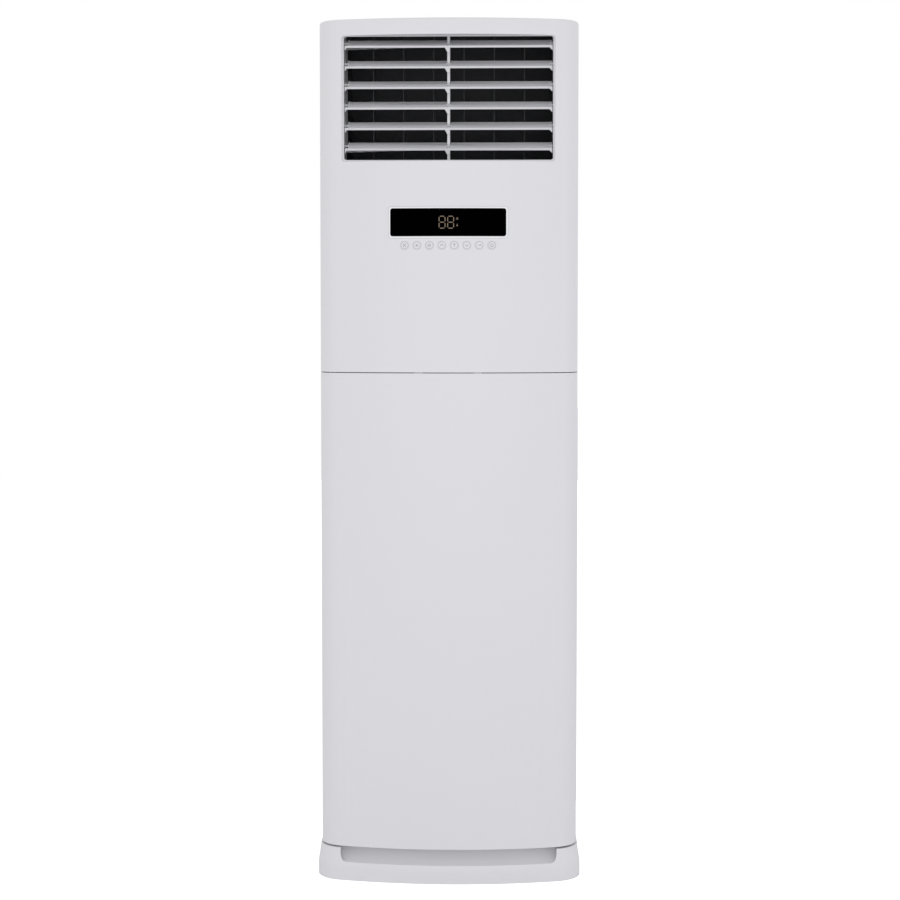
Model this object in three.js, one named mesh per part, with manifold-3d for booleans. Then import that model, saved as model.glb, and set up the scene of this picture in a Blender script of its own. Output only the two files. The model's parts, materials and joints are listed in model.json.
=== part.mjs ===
// Floor standing air conditioner, indoor cabinet unit.
// Millimetres, +Z up, +X to the right, the front faces -Y.
// The origin is on the floor, under the middle of the cabinet's outer box.

import * as THREE from "three";
import { mergeVertices } from "three/addons/utils/BufferGeometryUtils.js";
import Module from "manifold-3d";

const wasm = await Module();
wasm.setup();

/* ------------------------------ driving dimensions ------------------------------ */

// Cabinet
const CABINET_HEIGHT = 1770;
const CABINET_WIDTH = 532;
const CABINET_DEPTH = 328;
const FRONT_BOW_RADIUS = 950;
const FRONT_CORNER_RADIUS = 54;
const TOP_EDGE_RADIUS = 6;
const FRONT_WRAP = 84; // how far the front mouldings reach back along the sides
const PANEL_WALL = 3;
const PANEL_LIP = 9.5; // width of the turned-in edges of the front mouldings
const SEAM_DROP = 717; // from the top down to the middle of the seam between the mouldings
const SEAM_GAP = 2;
const SIDE_SEAM = 0.8;
const SHEET = 1.2;
const SHEET_FLANGE = 18;
const COVER_RIM = 8;
const COVER_SHEET = 2;
const BEAD_DEPTH = 3; // of the pressed beads in the back panel
const RIB_DEPTH = 6;
const SEAM_RIB_RISE = 126; // from the upper moulding's lower edge to its first rib
const OUTLET_RIB_DROP = 46; // from the outlet down to the second one
const FAR = 2 * CABINET_HEIGHT;
const OVERCUT = 1; // how far a cutter runs past the face it opens
const ROOT = 1; // how far a rib or boss runs into the wall that carries it
const SEAT_GAP = 0.3; // between pieces that rest on each other
const SLIDE_GAP = 0.4; // round pins, shafts and plungers

// Plinth, base pan and feet
const PLINTH_HEIGHT = 66.5;
const PLINTH_GAP = 3.5; // open line between plinth and lower panel
const PLINTH_FLARE = 8;
const PLINTH_TOP_FLARE = 2.4;
const PLINTH_STRAIGHT = 24; // height below which the flare runs straight down
const PLINTH_WALL = 3;
const PLINTH_LEDGE = 16;
const SCOOP_MARGIN = 42; // from the cabinet's side to the scoop's end
const SCOOP_DEPTH = 20;
const SCOOP_LIP_HEIGHT = 38;
const SCOOP_CORNER = 12;
const FOOT_RADIUS = 22;
const FOOT_HEIGHT = 6;
const FOOT_MARGIN = 66; // from the cabinet's side to the foot's middle
const FOOT_FRONT_SETBACK = 80;
const FOOT_REAR_SETBACK = 38;
const PAN_HEIGHT = 57.2;
const PAN_SHEET = 1.5;
const PAN_SETBACK = 3.7;
const PAN_FRONT_SETBACK = 55; // straight front of the pan behind the cabinet's front

// Side intake grilles and filters
const INTAKE_LOW = 150;
const INTAKE_HEIGHT = 820;
const INTAKE_WIDTH = 112;
const INTAKE_FRONT = 122; // from the front of the cabinet to the intake's front edge
const GRILLE_RIM = 6;
const GRILLE_RIM_THICKNESS = 2;
const GRILLE_DEPTH = 14;
const SLAT_DEPTH = 10;
const SLAT_SETBACK = 0.5; // behind the rim's outer face
const GRILLE_BORDER = 8;
const GRILLE_PITCH = 36;
const SLAT_THICKNESS = 2.2;
const SLAT_DROP = 7;
const FILTER_THICKNESS = 4;
const FILTER_BORDER = 7;
const FILTER_CELLS = 5;
const FILTER_NET = 0.8;

// Outlet, louvers and vanes
const OUTLET_DROP = 34.5; // from the top of the cabinet to the outlet
const OUTLET_HEIGHT = 249.5;
const OUTLET_MARGIN = 53; // from the cabinet's side to the outlet's end
const OUTLET_REVEAL = 4; // step between panel opening and insert, at the sides and below
const OUTLET_TOP_REVEAL = 1;
const OUTLET_CORNER = 5;
const REVEAL_WALL = 2.5;
const INSERT_SETBACK = 29.5; // from the front of the cabinet to the insert's front face
const INSERT_FLANGE = 6.5;
const INSERT_WALL = 2.5;
const INSERT_DEPTH = 82;
const INSERT_HEADROOM = 13; // the duct inside the insert is this much higher than the opening
const INSERT_FOOTROOM = 6;
const RIB_THICKNESS = 5.6;
const LOUVER_COUNT = 6;
const LOUVER_TILT = 26; // degrees, front edge down
const LOUVER_FRONT = 19; // pivot to front lip
const LOUVER_REAR = 17; // pivot to rear edge
const LOUVER_THICKNESS = 2.2;
const LOUVER_HEADROOM = 12; // top of the opening to the first pivot
const LOUVER_FOOTROOM = 29.7; // last pivot to the bottom of the opening
const LOUVER_RECESS = 1.5; // front lip, level, behind the insert's front face
const LOUVER_END_GAP = 1.5;
const LIP_HEIGHT = 4.2;
const LIP_DEPTH = 3;
const LEFT_GUSSET_WIDTH = 6;
const LEFT_GUSSET_HEIGHT = 8;
const RIGHT_GUSSET_WIDTH = 8;
const RIGHT_GUSSET_HEIGHT = 9;
const RIB_SIDE_GAP = 0.8;
const LUG_WALL = 2;
const PIN_ROOT = 6; // how far a pivot pin runs into the piece that carries it
const LINK_ROOM = 5; // round the link, between the duct's side and the louvers
const LINK_GAP = 0.2; // round the link's pins
const TAB_LENGTH = 11;
const TAB_WIDTH = 11.4;
const PIVOT_RADIUS = 2.4;
const CRANK_RADIUS = 13;
const CRANK_PIN_RADIUS = 1.8;
const LINK_WIDTH = 6;
const LINK_THICKNESS = 3;
const LINK_END = 4; // past the last pin
const VANE_COUNT = 6;
const VANE_END_GAP = 58; // from the outlet's end to the last vane
const VANE_CHORD = 40;
const VANE_THICKNESS = 2;
const VANE_ARM = 12;
const VANE_LINK_WIDTH = 7;
const VANE_NOTCH_GAP = 4; // round the link, where the vane is cut away
const VANE_LINK_RISE = 10; // from the duct's floor
const VANE_LINK_END = 6; // past the last pin
const CRANK_PIN_END = 2; // past the link
const MOTOR_OFFSET = 32; // from the last vane to the swing motor
const CRANK_RISE = 2; // from the duct's floor to the swing motor's crank
const CRANK_THICKNESS = 4;
const CRANK_ARM = 3; // half the arm's width
const MOTOR_RADIUS = 17.5;
const MOTOR_HEIGHT = 20;
const MOTOR_EDGE = 1.5;
const MOTOR_EAR = 8; // how far each ear stands out
const MOTOR_EAR_THICKNESS = 2;
const MOTOR_PLUG = 5; // how far the plug stands out

// Display and keys
const WINDOW_WIDTH = 243;
const WINDOW_HEIGHT = 64;
const WINDOW_CORNER = 6;
const WINDOW_DROP = 127.5; // from the outlet down to the middle of the display
const WINDOW_THICKNESS = 2.4;
const WINDOW_LEDGE = 4;
const KEY_COUNT = 8;
const KEY_PITCH = 25.3;
const KEY_RADIUS = 8.2;
const KEY_DROP = 46.5; // from the middle of the display down to the keys
const KEY_PROUD = 0.5;
const KEY_TRAVEL = 1;
const BOARD_SETBACK = 15.5;
const BOARD_THICKNESS = 1.6;
const BOARD_INSET = 5.5; // from the display's end to the board's
const BOARD_RISE = 17.5; // above the display
const BOARD_DROP = 16; // below the keys
const DIGITS_WIDTH = 70;
const DIGITS_HEIGHT = 40;
const DIGITS_DEPTH = 7;

// Blower
const WHEEL_RADIUS = 165;
const WHEEL_FRONT_GAP = 12; // from the casing's front face
const WHEEL_REAR_GAP = 14;
const WHEEL_BLADES = 20;
const BLADE_CHORD = 28;
const BLADE_THICKNESS = 1.6;
const WHEEL_X = -15;
const WHEEL_Z = 400;
const CASING_FRONT = 134; // from the front of the cabinet to the casing's front face
const CASING_WALL = 2;
const CUTOFF_GAP = 12;
const SCROLL_GROWTH = 62; // how much the scroll's radius grows over its turn
const EYE_RADIUS = 132;
const RING_WALL = 2;
const RING_FLANGE = 20;
const RING_ROLL = 5.5; // how far the inlet ring's rolled edge stands forward
const HUB_WALL = 12;
const HUB_LENGTH = 30;
const WHEEL_PLATE = 3;
const PLATE_SLOPE_START = 14; // where the dished plate leaves the hub
const PLATE_SLOPE_WIDTH = 30;
const BLADE_LEAN = 0.1; // radians over the blade's chord
const SHAFT_RADIUS = 6;
const SHAFT_REACH = 4; // past the hub
const FAN_MOTOR_RADIUS = 62;
const FAN_MOTOR_LENGTH = 44;
const MOTOR_FRONT_GAP = 1; // from the casing's back
const MOTOR_REAR_GAP = 4.8; // to the beads of the back panel, for the bracket

// Upper chamber
const PARTITION_SETBACK = 60; // duct front plate behind the cabinet's front
const TRAY_LOW = 735;
const TRAY_HEIGHT = 55;
const TRAY_WALL = 6;
const TRAY_MARGIN = 20; // from the cabinet's side
const LINER_GAP = 0.5; // round the outlet's duct
const LINER_BACK = 10;
const LINER_REAR_GAP = 11;
const GUIDE_RADIUS = 90;
const COIL_END_GAP = 20.5; // from the coil's side to the liner
const COIL_THICKNESS = 40;
const COIL_HEADROOM = 143; // from the coil's upper end to the outlet's duct
const COIL_REAR_GAP = 19;
const COIL_TUBE_RADIUS = 4.8;
const COIL_BENDS = 6;
const BEND_RADIUS = 13;
const GAS_PIPE_RADIUS = 8;
const LIQUID_PIPE_RADIUS = 4.8;
const LIQUID_TAP = 287; // up the coil's side, from its lower end
const GAS_PIPE_MARGIN = 9.5; // from the liner's side to the pipe's middle
const PIPE_SPACING = 24;
const PIPE_REAR_GAP = 32; // from the cabinet's back to the pipes' middle
const PIPE_END = 320;
const HOSE_RADIUS = 10;
const BOX_WIDTH = 300;
const BOX_HEIGHT = 170;
const BOX_DEPTH = 38;
const BOX_DROP = 8; // from the drip tray down to the electric box

/* ------------------------------ derived positions ------------------------------ */

const HALF_WIDTH = CABINET_WIDTH / 2;
const SEAM_HEIGHT = CABINET_HEIGHT - SEAM_DROP;
const BACK = (CABINET_DEPTH + PLINTH_FLARE) / 2;
const FRONT = BACK - CABINET_DEPTH;
const BOW_CENTRE = FRONT + FRONT_BOW_RADIUS;
const CORNER_X = HALF_WIDTH - FRONT_CORNER_RADIUS;
const CORNER_REACH = FRONT_BOW_RADIUS - FRONT_CORNER_RADIUS;
const CORNER_Y = BOW_CENTRE - Math.sqrt(CORNER_REACH ** 2 - CORNER_X ** 2);
const CORNER_TURN = Math.asin(CORNER_X / CORNER_REACH);
const WRAP_BACK = FRONT + FRONT_WRAP;
const SIDE_FRONT = WRAP_BACK + SIDE_SEAM;
const UPPER_LOW = SEAM_HEIGHT + SEAM_GAP / 2;
const LOWER_HIGH = SEAM_HEIGHT - SEAM_GAP / 2;
const LOWER_LOW = PLINTH_HEIGHT + PLINTH_GAP;
const COVER_THICKNESS = TOP_EDGE_RADIUS;
const SHEET_TOP = CABINET_HEIGHT - COVER_THICKNESS - SEAT_GAP;
const OUTLET_HALF_WIDTH = HALF_WIDTH - OUTLET_MARGIN;
const OUTLET_HIGH = CABINET_HEIGHT - OUTLET_DROP;
const OUTLET_LOW = OUTLET_HIGH - OUTLET_HEIGHT;
const WINDOW_CENTRE = OUTLET_LOW - WINDOW_DROP;
const KEY_HEIGHT = WINDOW_CENTRE - KEY_DROP;
const INSERT_FRONT = FRONT + INSERT_SETBACK;
const LOUVER_Y = INSERT_FRONT + LOUVER_RECESS + LOUVER_FRONT;
const TOP_PIVOT = OUTLET_HIGH - LOUVER_HEADROOM;
const LOUVER_PITCH = (TOP_PIVOT - OUTLET_LOW - LOUVER_FOOTROOM) / (LOUVER_COUNT - 1);
const VANE_PITCH = (2 * (OUTLET_HALF_WIDTH - VANE_END_GAP)) / (VANE_COUNT - 1);
const INSERT_BACK = INSERT_FRONT + INSERT_DEPTH;
const DUCT_LOW = OUTLET_LOW - INSERT_FOOTROOM;
const DUCT_HIGH = OUTLET_HIGH + INSERT_HEADROOM;
const DUCT_HALF = OUTLET_HALF_WIDTH + 0.5;
const VANE_Y = LOUVER_Y + LOUVER_REAR + VANE_CHORD / 2 + 4;
const PARTITION = FRONT + PARTITION_SETBACK;
const TRAY_HIGH = TRAY_LOW + TRAY_HEIGHT;
const CASING_Y = FRONT + CASING_FRONT;
const MOTOR_BACK = BACK - SHEET - BEAD_DEPTH - MOTOR_REAR_GAP;
const MOTOR_FRONT = MOTOR_BACK - FAN_MOTOR_LENGTH;
const CASING_BACK = MOTOR_FRONT - MOTOR_FRONT_GAP;
const WHEEL_FRONT = CASING_Y + WHEEL_FRONT_GAP;
const WHEEL_BACK = CASING_BACK - WHEEL_REAR_GAP;

/* ------------------------------ shape helpers ------------------------------ */

const radians = THREE.MathUtils.degToRad;
const BOW_STEPS = 8;
const CORNER_STEPS = 4;
const PIN_SIDES = 6;

function point(x, y) {
  return new THREE.Vector2(x, y);
}

function arc(x, y, radius, from, to, steps) {
  return Array.from({ length: steps + 1 }, (_, i) => {
    const angle = from + ((to - from) * i) / steps;
    return point(x + radius * Math.cos(angle), y + radius * Math.sin(angle));
  });
}

function circle(x, y, radius, steps) {
  return arc(x, y, radius, 0, 2 * Math.PI, steps).slice(0, -1);
}

function roundedRectangle(left, right, low, high, radius, steps = 3) {
  const quarter = Math.PI / 2;
  return [
    ...arc(right - radius, low + radius, radius, -quarter, 0, steps),
    ...arc(right - radius, high - radius, radius, 0, quarter, steps),
    ...arc(left + radius, high - radius, radius, quarter, 2 * quarter, steps),
    ...arc(left + radius, low + radius, radius, 2 * quarter, 3 * quarter, steps),
  ];
}

// A closed geometry as a solid that can be joined and cut.
function solid(geometry) {
  const bare = geometry.index ? geometry.toNonIndexed() : geometry.clone();
  bare.deleteAttribute("normal");
  bare.deleteAttribute("uv");
  const merged = mergeVertices(bare, 1e-4);
  const corners = merged.index.array;
  const triVerts = [];
  for (let i = 0; i < corners.length; i += 3) {
    const [a, b, c] = corners.slice(i, i + 3);
    if (a !== b && b !== c && c !== a) triVerts.push(a, b, c);
  }
  return closedBody(merged.attributes.position.array, triVerts);
}

// The body inside the triangles, turned the right way out.
function closedBody(vertProperties, corners) {
  const triVerts = new Uint32Array(corners);
  const body = new wasm.Manifold(new wasm.Mesh({ numProp: 3, vertProperties, triVerts }));
  return body.volume() < 0 ? closedBody(vertProperties, corners.reverse()) : body;
}

function join(...solids) {
  return solids.flat().reduce((whole, next) => whole.add(next));
}

function cut(whole, ...solids) {
  return solids.flat().reduce((rest, next) => rest.subtract(next), whole);
}

function extrusion(outline, depth) {
  const options = { depth, bevelEnabled: false };
  return new THREE.ExtrudeGeometry(new THREE.Shape(outline), options);
}

// An outline in X and Y, raised along Z.
function raise(outline, low, high) {
  return solid(extrusion(outline, high - low).translate(0, 0, low));
}

// An outline in X and Z, run through from front to back along Y.
function through(outline, front, back) {
  const geometry = extrusion(outline, back - front).rotateX(Math.PI / 2);
  return solid(geometry.translate(0, back, 0));
}

// An outline in Y and Z, run along X.
function along(outline, left, right) {
  const turn = new THREE.Matrix4().makeBasis(
    new THREE.Vector3(0, 1, 0), new THREE.Vector3(0, 0, 1), new THREE.Vector3(1, 0, 0));
  return solid(extrusion(outline, right - left).applyMatrix4(turn).translate(left, 0, 0));
}

function block(left, right, front, back, low, high) {
  const geometry = new THREE.BoxGeometry(right - left, back - front, high - low);
  geometry.translate((left + right) / 2, (front + back) / 2, (low + high) / 2);
  return solid(geometry);
}

// A profile of radius and height turned about an upright axis or, with lying, about Y.
function turned(profile, steps, { x = 0, y = 0, z = 0, lying = false } = {}) {
  const geometry = new THREE.LatheGeometry(profile, steps);
  if (!lying) geometry.rotateX(Math.PI / 2);
  return solid(geometry.translate(x, y, z));
}

function rod(radius, from, to, steps = PIN_SIDES) {
  const start = new THREE.Vector3(...from);
  const run = new THREE.Vector3(...to).sub(start);
  const geometry = new THREE.CylinderGeometry(radius, radius, run.length(), steps);
  const turn = new THREE.Quaternion().setFromUnitVectors(
    new THREE.Vector3(0, 1, 0), run.clone().normalize());
  geometry.applyQuaternion(turn);
  geometry.translate(...start.addScaledVector(run, 0.5).toArray());
  return solid(geometry);
}

// A bore whose flats lie at the radius, so that a pin can turn in it.
function bore(radius, from, to, steps = PIN_SIDES) {
  return rod(radius / Math.cos(Math.PI / steps), from, to, steps);
}

// A round tube along a smooth line through the points.
function tube(radius, points, sides, steps) {
  const path = new THREE.CatmullRomCurve3(points.map((p) => new THREE.Vector3(...p)));
  const geometry = new THREE.ExtrudeGeometry(
    new THREE.Shape(circle(0, 0, radius, sides)), { steps, extrudePath: path });
  return solid(geometry);
}

// A closed skin over level rings, each with as many points as the next, from the lowest up.
function loft(rings) {
  const count = rings[0].points.length;
  const positions = rings.flatMap(({ points, z }) => points.flatMap((p) => [p.x, p.y, z]));
  const faces = [];
  for (let level = 1; level < rings.length; level += 1) {
    for (let i = 0; i < count; i += 1) {
      const [a, b] = [(level - 1) * count + i, (level - 1) * count + ((i + 1) % count)];
      faces.push(a, b, b + count, a, b + count, a + count);
    }
  }
  const top = (rings.length - 1) * count;
  for (const [a, b, c] of THREE.ShapeUtils.triangulateShape(rings[0].points, [])) {
    faces.push(c, b, a);
  }
  for (const [a, b, c] of THREE.ShapeUtils.triangulateShape(rings.at(-1).points, [])) {
    faces.push(top + a, top + b, top + c);
  }
  const geometry = new THREE.BufferGeometry();
  geometry.setAttribute("position", new THREE.Float32BufferAttribute(positions, 3));
  geometry.setIndex(faces);
  return solid(geometry);
}

const mirrorLeft = (body) => body.mirror([1, 0, 0]);

/* ------------------------------ the cabinet's plan outline ------------------------------ */

// The bowed front with its two rounded corners, from left to right, set in by inset.
function frontOutline(inset) {
  const ahead = -Math.PI / 2;
  const corner = FRONT_CORNER_RADIUS - inset;
  const bow = FRONT_BOW_RADIUS - inset;
  const [left, right] = [ahead - CORNER_TURN, ahead + CORNER_TURN];
  return [
    ...arc(-CORNER_X, CORNER_Y, corner, -Math.PI, left, CORNER_STEPS),
    ...arc(0, BOW_CENTRE, bow, left, right, BOW_STEPS).slice(1, -1),
    ...arc(CORNER_X, CORNER_Y, corner, right, 0, CORNER_STEPS),
  ];
}

// The whole plan outline: bowed front, straight sides and a straight back.
function bodySection(inset, back = BACK - inset) {
  const half = HALF_WIDTH - inset;
  return [...frontOutline(inset), point(half, back), point(-half, back)];
}

// Where the bowed front lies at a distance x from the middle.
function bowAt(x) {
  return BOW_CENTRE - Math.sqrt(FRONT_BOW_RADIUS ** 2 - x ** 2);
}

// A level band of the front mouldings, between two insets from the outside.
function frontBand(outer, inner, low, high) {
  const band = cut(raise(bodySection(outer), low, high),
    raise(bodySection(inner), low - OVERCUT, high + OVERCUT));
  return band.intersect(block(-FAR, FAR, -FAR, WRAP_BACK, low, high));
}

// The upright edges turned in behind the side wraps.
function sideLips(low, high) {
  const lip = block(HALF_WIDTH - PANEL_LIP - PANEL_WALL, HALF_WIDTH - ROOT,
    WRAP_BACK - PANEL_WALL, WRAP_BACK, low, high);
  return [lip, mirrorLeft(lip)];
}

// The cabinet's outside from low to the top, with its rounded top edge, set in by inset.
function roundedTop(inset, low) {
  const radius = TOP_EDGE_RADIUS - inset;
  const rings = [{ points: bodySection(inset), z: low }];
  for (const share of [0, 0.35, 0.7, 1]) {
    const angle = (share * Math.PI) / 2;
    rings.push({
      points: bodySection(inset + radius * (1 - Math.cos(angle))),
      z: CABINET_HEIGHT - TOP_EDGE_RADIUS + radius * Math.sin(angle),
    });
  }
  return loft(rings);
}

/* ------------------------------ plinth, base and feet ------------------------------ */

const FLARE_LEVELS = [0, 0.26, 0.5, 0.74, 1]; // shares of the height above the straight part
const FLARE_SHARES = [1, 0.8, 0.5, 0.25, 0];

function plinthRings(inset, low, top) {
  const rings = [{ points: bodySection(inset - PLINTH_FLARE, BACK - inset), z: low }];
  FLARE_LEVELS.forEach((level, i) => {
    const flare = PLINTH_TOP_FLARE + (PLINTH_FLARE - PLINTH_TOP_FLARE) * FLARE_SHARES[i];
    const z = PLINTH_STRAIGHT + (top - PLINTH_STRAIGHT) * level;
    rings.push({ points: bodySection(inset - flare, BACK - inset), z });
  });
  return rings;
}

// The hollow scooped out of the plinth's front: a cove between two sloping ends.
function scoop(grow, low) {
  const rings = [];
  const steps = 6;
  for (let i = 0; i <= steps; i += 1) {
    const rise = i / steps;
    const z = low + (PLINTH_HEIGHT + OVERCUT - low) * rise;
    const cove = Math.sqrt(1 - (1 - rise) ** 2);
    const reach = PLINTH_FLARE - OVERCUT - (SCOOP_DEPTH + PLINTH_FLARE - OVERCUT) * cove;
    const radius = FRONT_BOW_RADIUS + reach - grow;
    const corner = SCOOP_CORNER * (1 - Math.sqrt(1 - (1 - rise) ** 4));
    const half = HALF_WIDTH - SCOOP_MARGIN + grow - corner;
    const turn = Math.asin(half / radius);
    rings.push({ z, points: [
      point(-half, -FAR),
      point(half, -FAR),
      ...arc(0, BOW_CENTRE, radius, turn - Math.PI / 2, -turn - Math.PI / 2, BOW_STEPS),
    ] });
  }
  return loft(rings);
}

function basePlinth() {
  const outside = loft(plinthRings(0, 0, PLINTH_HEIGHT));
  const ceiling = PLINTH_HEIGHT - PLINTH_WALL;
  const inside = loft(plinthRings(PLINTH_WALL, -OVERCUT, ceiling));
  const backing = scoop(PLINTH_WALL, SCOOP_LIP_HEIGHT - PLINTH_WALL).intersect(outside);
  const opening = raise(bodySection(PLINTH_LEDGE), ceiling - OVERCUT, PLINTH_HEIGHT + OVERCUT);
  const frame = join(cut(outside, inside, opening), backing);
  return cut(frame, scoop(0, SCOOP_LIP_HEIGHT));
}

const PAN_LOW = FOOT_HEIGHT + SEAT_GAP;
const PAN_FRONT = FRONT + PAN_FRONT_SETBACK;

function basePan() {
  const tray = (inset, low, high) => raise(bodySection(PAN_SETBACK + inset), low, high)
    .intersect(block(-FAR, FAR, PAN_FRONT + inset, FAR, low, high));
  return cut(tray(0, PAN_LOW, PAN_LOW + PAN_HEIGHT - SEAT_GAP),
    tray(PAN_SHEET, PAN_LOW + PAN_SHEET, FAR));
}

const FOOT_X = HALF_WIDTH - FOOT_MARGIN;
const FOOT_FRONT = FRONT + FOOT_FRONT_SETBACK;
const FOOT_REAR = BACK - FOOT_REAR_SETBACK;
const FOOT_EDGE = 1.5;

function foot(x, y) {
  const profile = [
    point(0, 0), point(FOOT_RADIUS - FOOT_EDGE, 0), point(FOOT_RADIUS, FOOT_EDGE),
    point(FOOT_RADIUS, FOOT_HEIGHT), point(0, FOOT_HEIGHT),
  ];
  return turned(profile, 12, { x, y });
}

/* ------------------------------ sheet panels and top cover ------------------------------ */

const SHEET_LOW = PLINTH_HEIGHT + SEAT_GAP;
const SHEET_INSIDE = HALF_WIDTH - SHEET;
const FLANGE_FRONT_WIDTH = 14;
const SHELF_LENGTH = 25;
const SHELF_HEIGHT = 3;
const SHELF_FRONT_GAP = 5;
const SHELF_REAR_GAP = 15;
const INTAKE_Y = FRONT + INTAKE_FRONT;
const INTAKE_BACK = INTAKE_Y + INTAKE_WIDTH;
const INTAKE_HIGH = INTAKE_LOW + INTAKE_HEIGHT;

function rightSidePanel() {
  const flangeBack = BACK - SHEET - SEAT_GAP;
  const section = [
    point(HALF_WIDTH, SIDE_FRONT), point(HALF_WIDTH, BACK),
    point(SHEET_INSIDE, BACK), point(SHEET_INSIDE, flangeBack),
    point(HALF_WIDTH - SHEET_FLANGE, flangeBack),
    point(HALF_WIDTH - SHEET_FLANGE, flangeBack - SHEET),
    point(SHEET_INSIDE, flangeBack - SHEET), point(SHEET_INSIDE, SIDE_FRONT + SHEET),
    point(HALF_WIDTH - FLANGE_FRONT_WIDTH, SIDE_FRONT + SHEET),
    point(HALF_WIDTH - FLANGE_FRONT_WIDTH, SIDE_FRONT),
  ];
  const shelf = (front) => block(HALF_WIDTH - SHELF_LENGTH, HALF_WIDTH - SHEET / 2,
    front, front + SHELF_LENGTH, TRAY_LOW - SEAT_GAP - SHELF_HEIGHT, TRAY_LOW - SEAT_GAP);
  const panel = join(raise(section, SHEET_LOW, SHEET_TOP),
    shelf(SIDE_FRONT + SHELF_FRONT_GAP), shelf(INTAKE_BACK + SHELF_REAR_GAP));
  return cut(panel, block(SHEET_INSIDE - OVERCUT, HALF_WIDTH + OVERCUT,
    INTAKE_Y, INTAKE_BACK, INTAKE_LOW, INTAKE_HIGH));
}

const PIPE_HOLE_MARGIN = 116; // from the cabinet's side to the middle of the hole
const PIPE_HOLE_X = HALF_WIDTH - PIPE_HOLE_MARGIN;
const PIPE_HOLE_Z = 230;
const PIPE_HOLE_RADIUS = 38;
const BRACKET_DROP = 55; // from the top of the cabinet to the bracket's middle
const BRACKET_Z = CABINET_HEIGHT - BRACKET_DROP;
const BRACKET_HALF_WIDTH = 60;
const BRACKET_HALF_HEIGHT = 15;
const POCKET_MARGIN = 10;
const POCKET_DEPTH = 7;
const HOLE_SIDES = 16;
const GROMMET_WALL = 4;
const GROMMET_FLANGE = 6;
const GROMMET_THICKNESS = 3;
const BRACKET_SLOT_X = 35;
const BRACKET_SLOT_LENGTH = 24;
const BRACKET_SLOT_WIDTH = 7;
const BEAD_COUNT = 4;
const BEAD_LOW = 520;
const BEAD_PITCH = (BRACKET_Z - BEAD_LOW) / (BEAD_COUNT + 0.25);
const BEAD_HALF_WIDTH = 9;
const BEAD_SLOPE = 1; // how much wider the bead is at its mouth
const BEAD_MARGIN = 61; // from the cabinet's side to the bead's end

function backPanel() {
  const inner = BACK - SHEET;
  const half = SHEET_INSIDE - SEAT_GAP;
  const rearOf = (grow) => (grow ? BACK - SHEET / 2 : BACK + OVERCUT);
  const bead = (z, grow) => {
    const wide = BEAD_HALF_WIDTH + grow;
    const halfLength = HALF_WIDTH - BEAD_MARGIN + grow;
    return along([
      point(rearOf(grow), z - wide - BEAD_SLOPE), point(rearOf(grow), z + wide + BEAD_SLOPE),
      point(BACK - BEAD_DEPTH - grow, z + wide / 2),
      point(BACK - BEAD_DEPTH - grow, z - wide / 2),
    ], -halfLength, halfLength);
  };
  const levels = Array.from({ length: BEAD_COUNT }, (_, i) => BEAD_LOW + i * BEAD_PITCH);
  const pocket = (grow, depth) => block(
    -BRACKET_HALF_WIDTH - POCKET_MARGIN - grow, BRACKET_HALF_WIDTH + POCKET_MARGIN + grow,
    BACK - depth, rearOf(grow),
    BRACKET_Z - BRACKET_HALF_HEIGHT - POCKET_MARGIN - grow,
    BRACKET_Z + BRACKET_HALF_HEIGHT + POCKET_MARGIN + grow);
  const sheet = join(block(-half, half, inner, BACK, SHEET_LOW, SHEET_TOP),
    levels.map((z) => bead(z, SHEET)), pocket(SHEET, POCKET_DEPTH + SHEET));
  const hole = through(circle(PIPE_HOLE_X, PIPE_HOLE_Z, PIPE_HOLE_RADIUS, HOLE_SIDES),
    inner - OVERCUT, BACK + OVERCUT);
  return cut(sheet, levels.map((z) => bead(z, 0)), pocket(0, POCKET_DEPTH), hole);
}

function wallBracket() {
  const rear = BACK - POCKET_DEPTH + SHEET + SEAT_GAP;
  const plate = block(-BRACKET_HALF_WIDTH, BRACKET_HALF_WIDTH, BACK - POCKET_DEPTH + SEAT_GAP,
    rear, BRACKET_Z - BRACKET_HALF_HEIGHT, BRACKET_Z + BRACKET_HALF_HEIGHT);
  const length = BRACKET_SLOT_LENGTH / 2;
  const width = BRACKET_SLOT_WIDTH / 2;
  const slot = (x) => through(roundedRectangle(x - length, x + length,
    BRACKET_Z - width, BRACKET_Z + width, width * 0.95), BACK - POCKET_DEPTH - OVERCUT, BACK);
  return cut(plate, slot(-BRACKET_SLOT_X), slot(BRACKET_SLOT_X));
}

// A soft ring in the pipe hole: a flange inside the sheet and a neck through it.
function pipeGrommet() {
  const neck = PIPE_HOLE_RADIUS - SEAT_GAP;
  const front = BACK - SHEET - SEAT_GAP;
  const inside = neck - GROMMET_WALL;
  const profile = [
    point(inside, front - GROMMET_THICKNESS), point(neck + GROMMET_FLANGE, front - GROMMET_THICKNESS),
    point(neck + GROMMET_FLANGE, front), point(neck, front), point(neck, BACK - SEAT_GAP),
    point(inside, BACK - SEAT_GAP), point(inside, front - GROMMET_THICKNESS),
  ];
  return turned(profile, HOLE_SIDES, { x: PIPE_HOLE_X, z: PIPE_HOLE_Z, lying: true });
}

function topCover() {
  const low = CABINET_HEIGHT - COVER_THICKNESS;
  const behind = block(-FAR, FAR, SIDE_FRONT, FAR, low, FAR);
  const hollow = block(-HALF_WIDTH + COVER_RIM, HALF_WIDTH - COVER_RIM,
    SIDE_FRONT + COVER_RIM, BACK - COVER_RIM, low - OVERCUT, CABINET_HEIGHT - COVER_SHEET);
  return cut(roundedTop(0, low).intersect(behind), hollow);
}

/* ------------------------------ front mouldings ------------------------------ */

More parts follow.
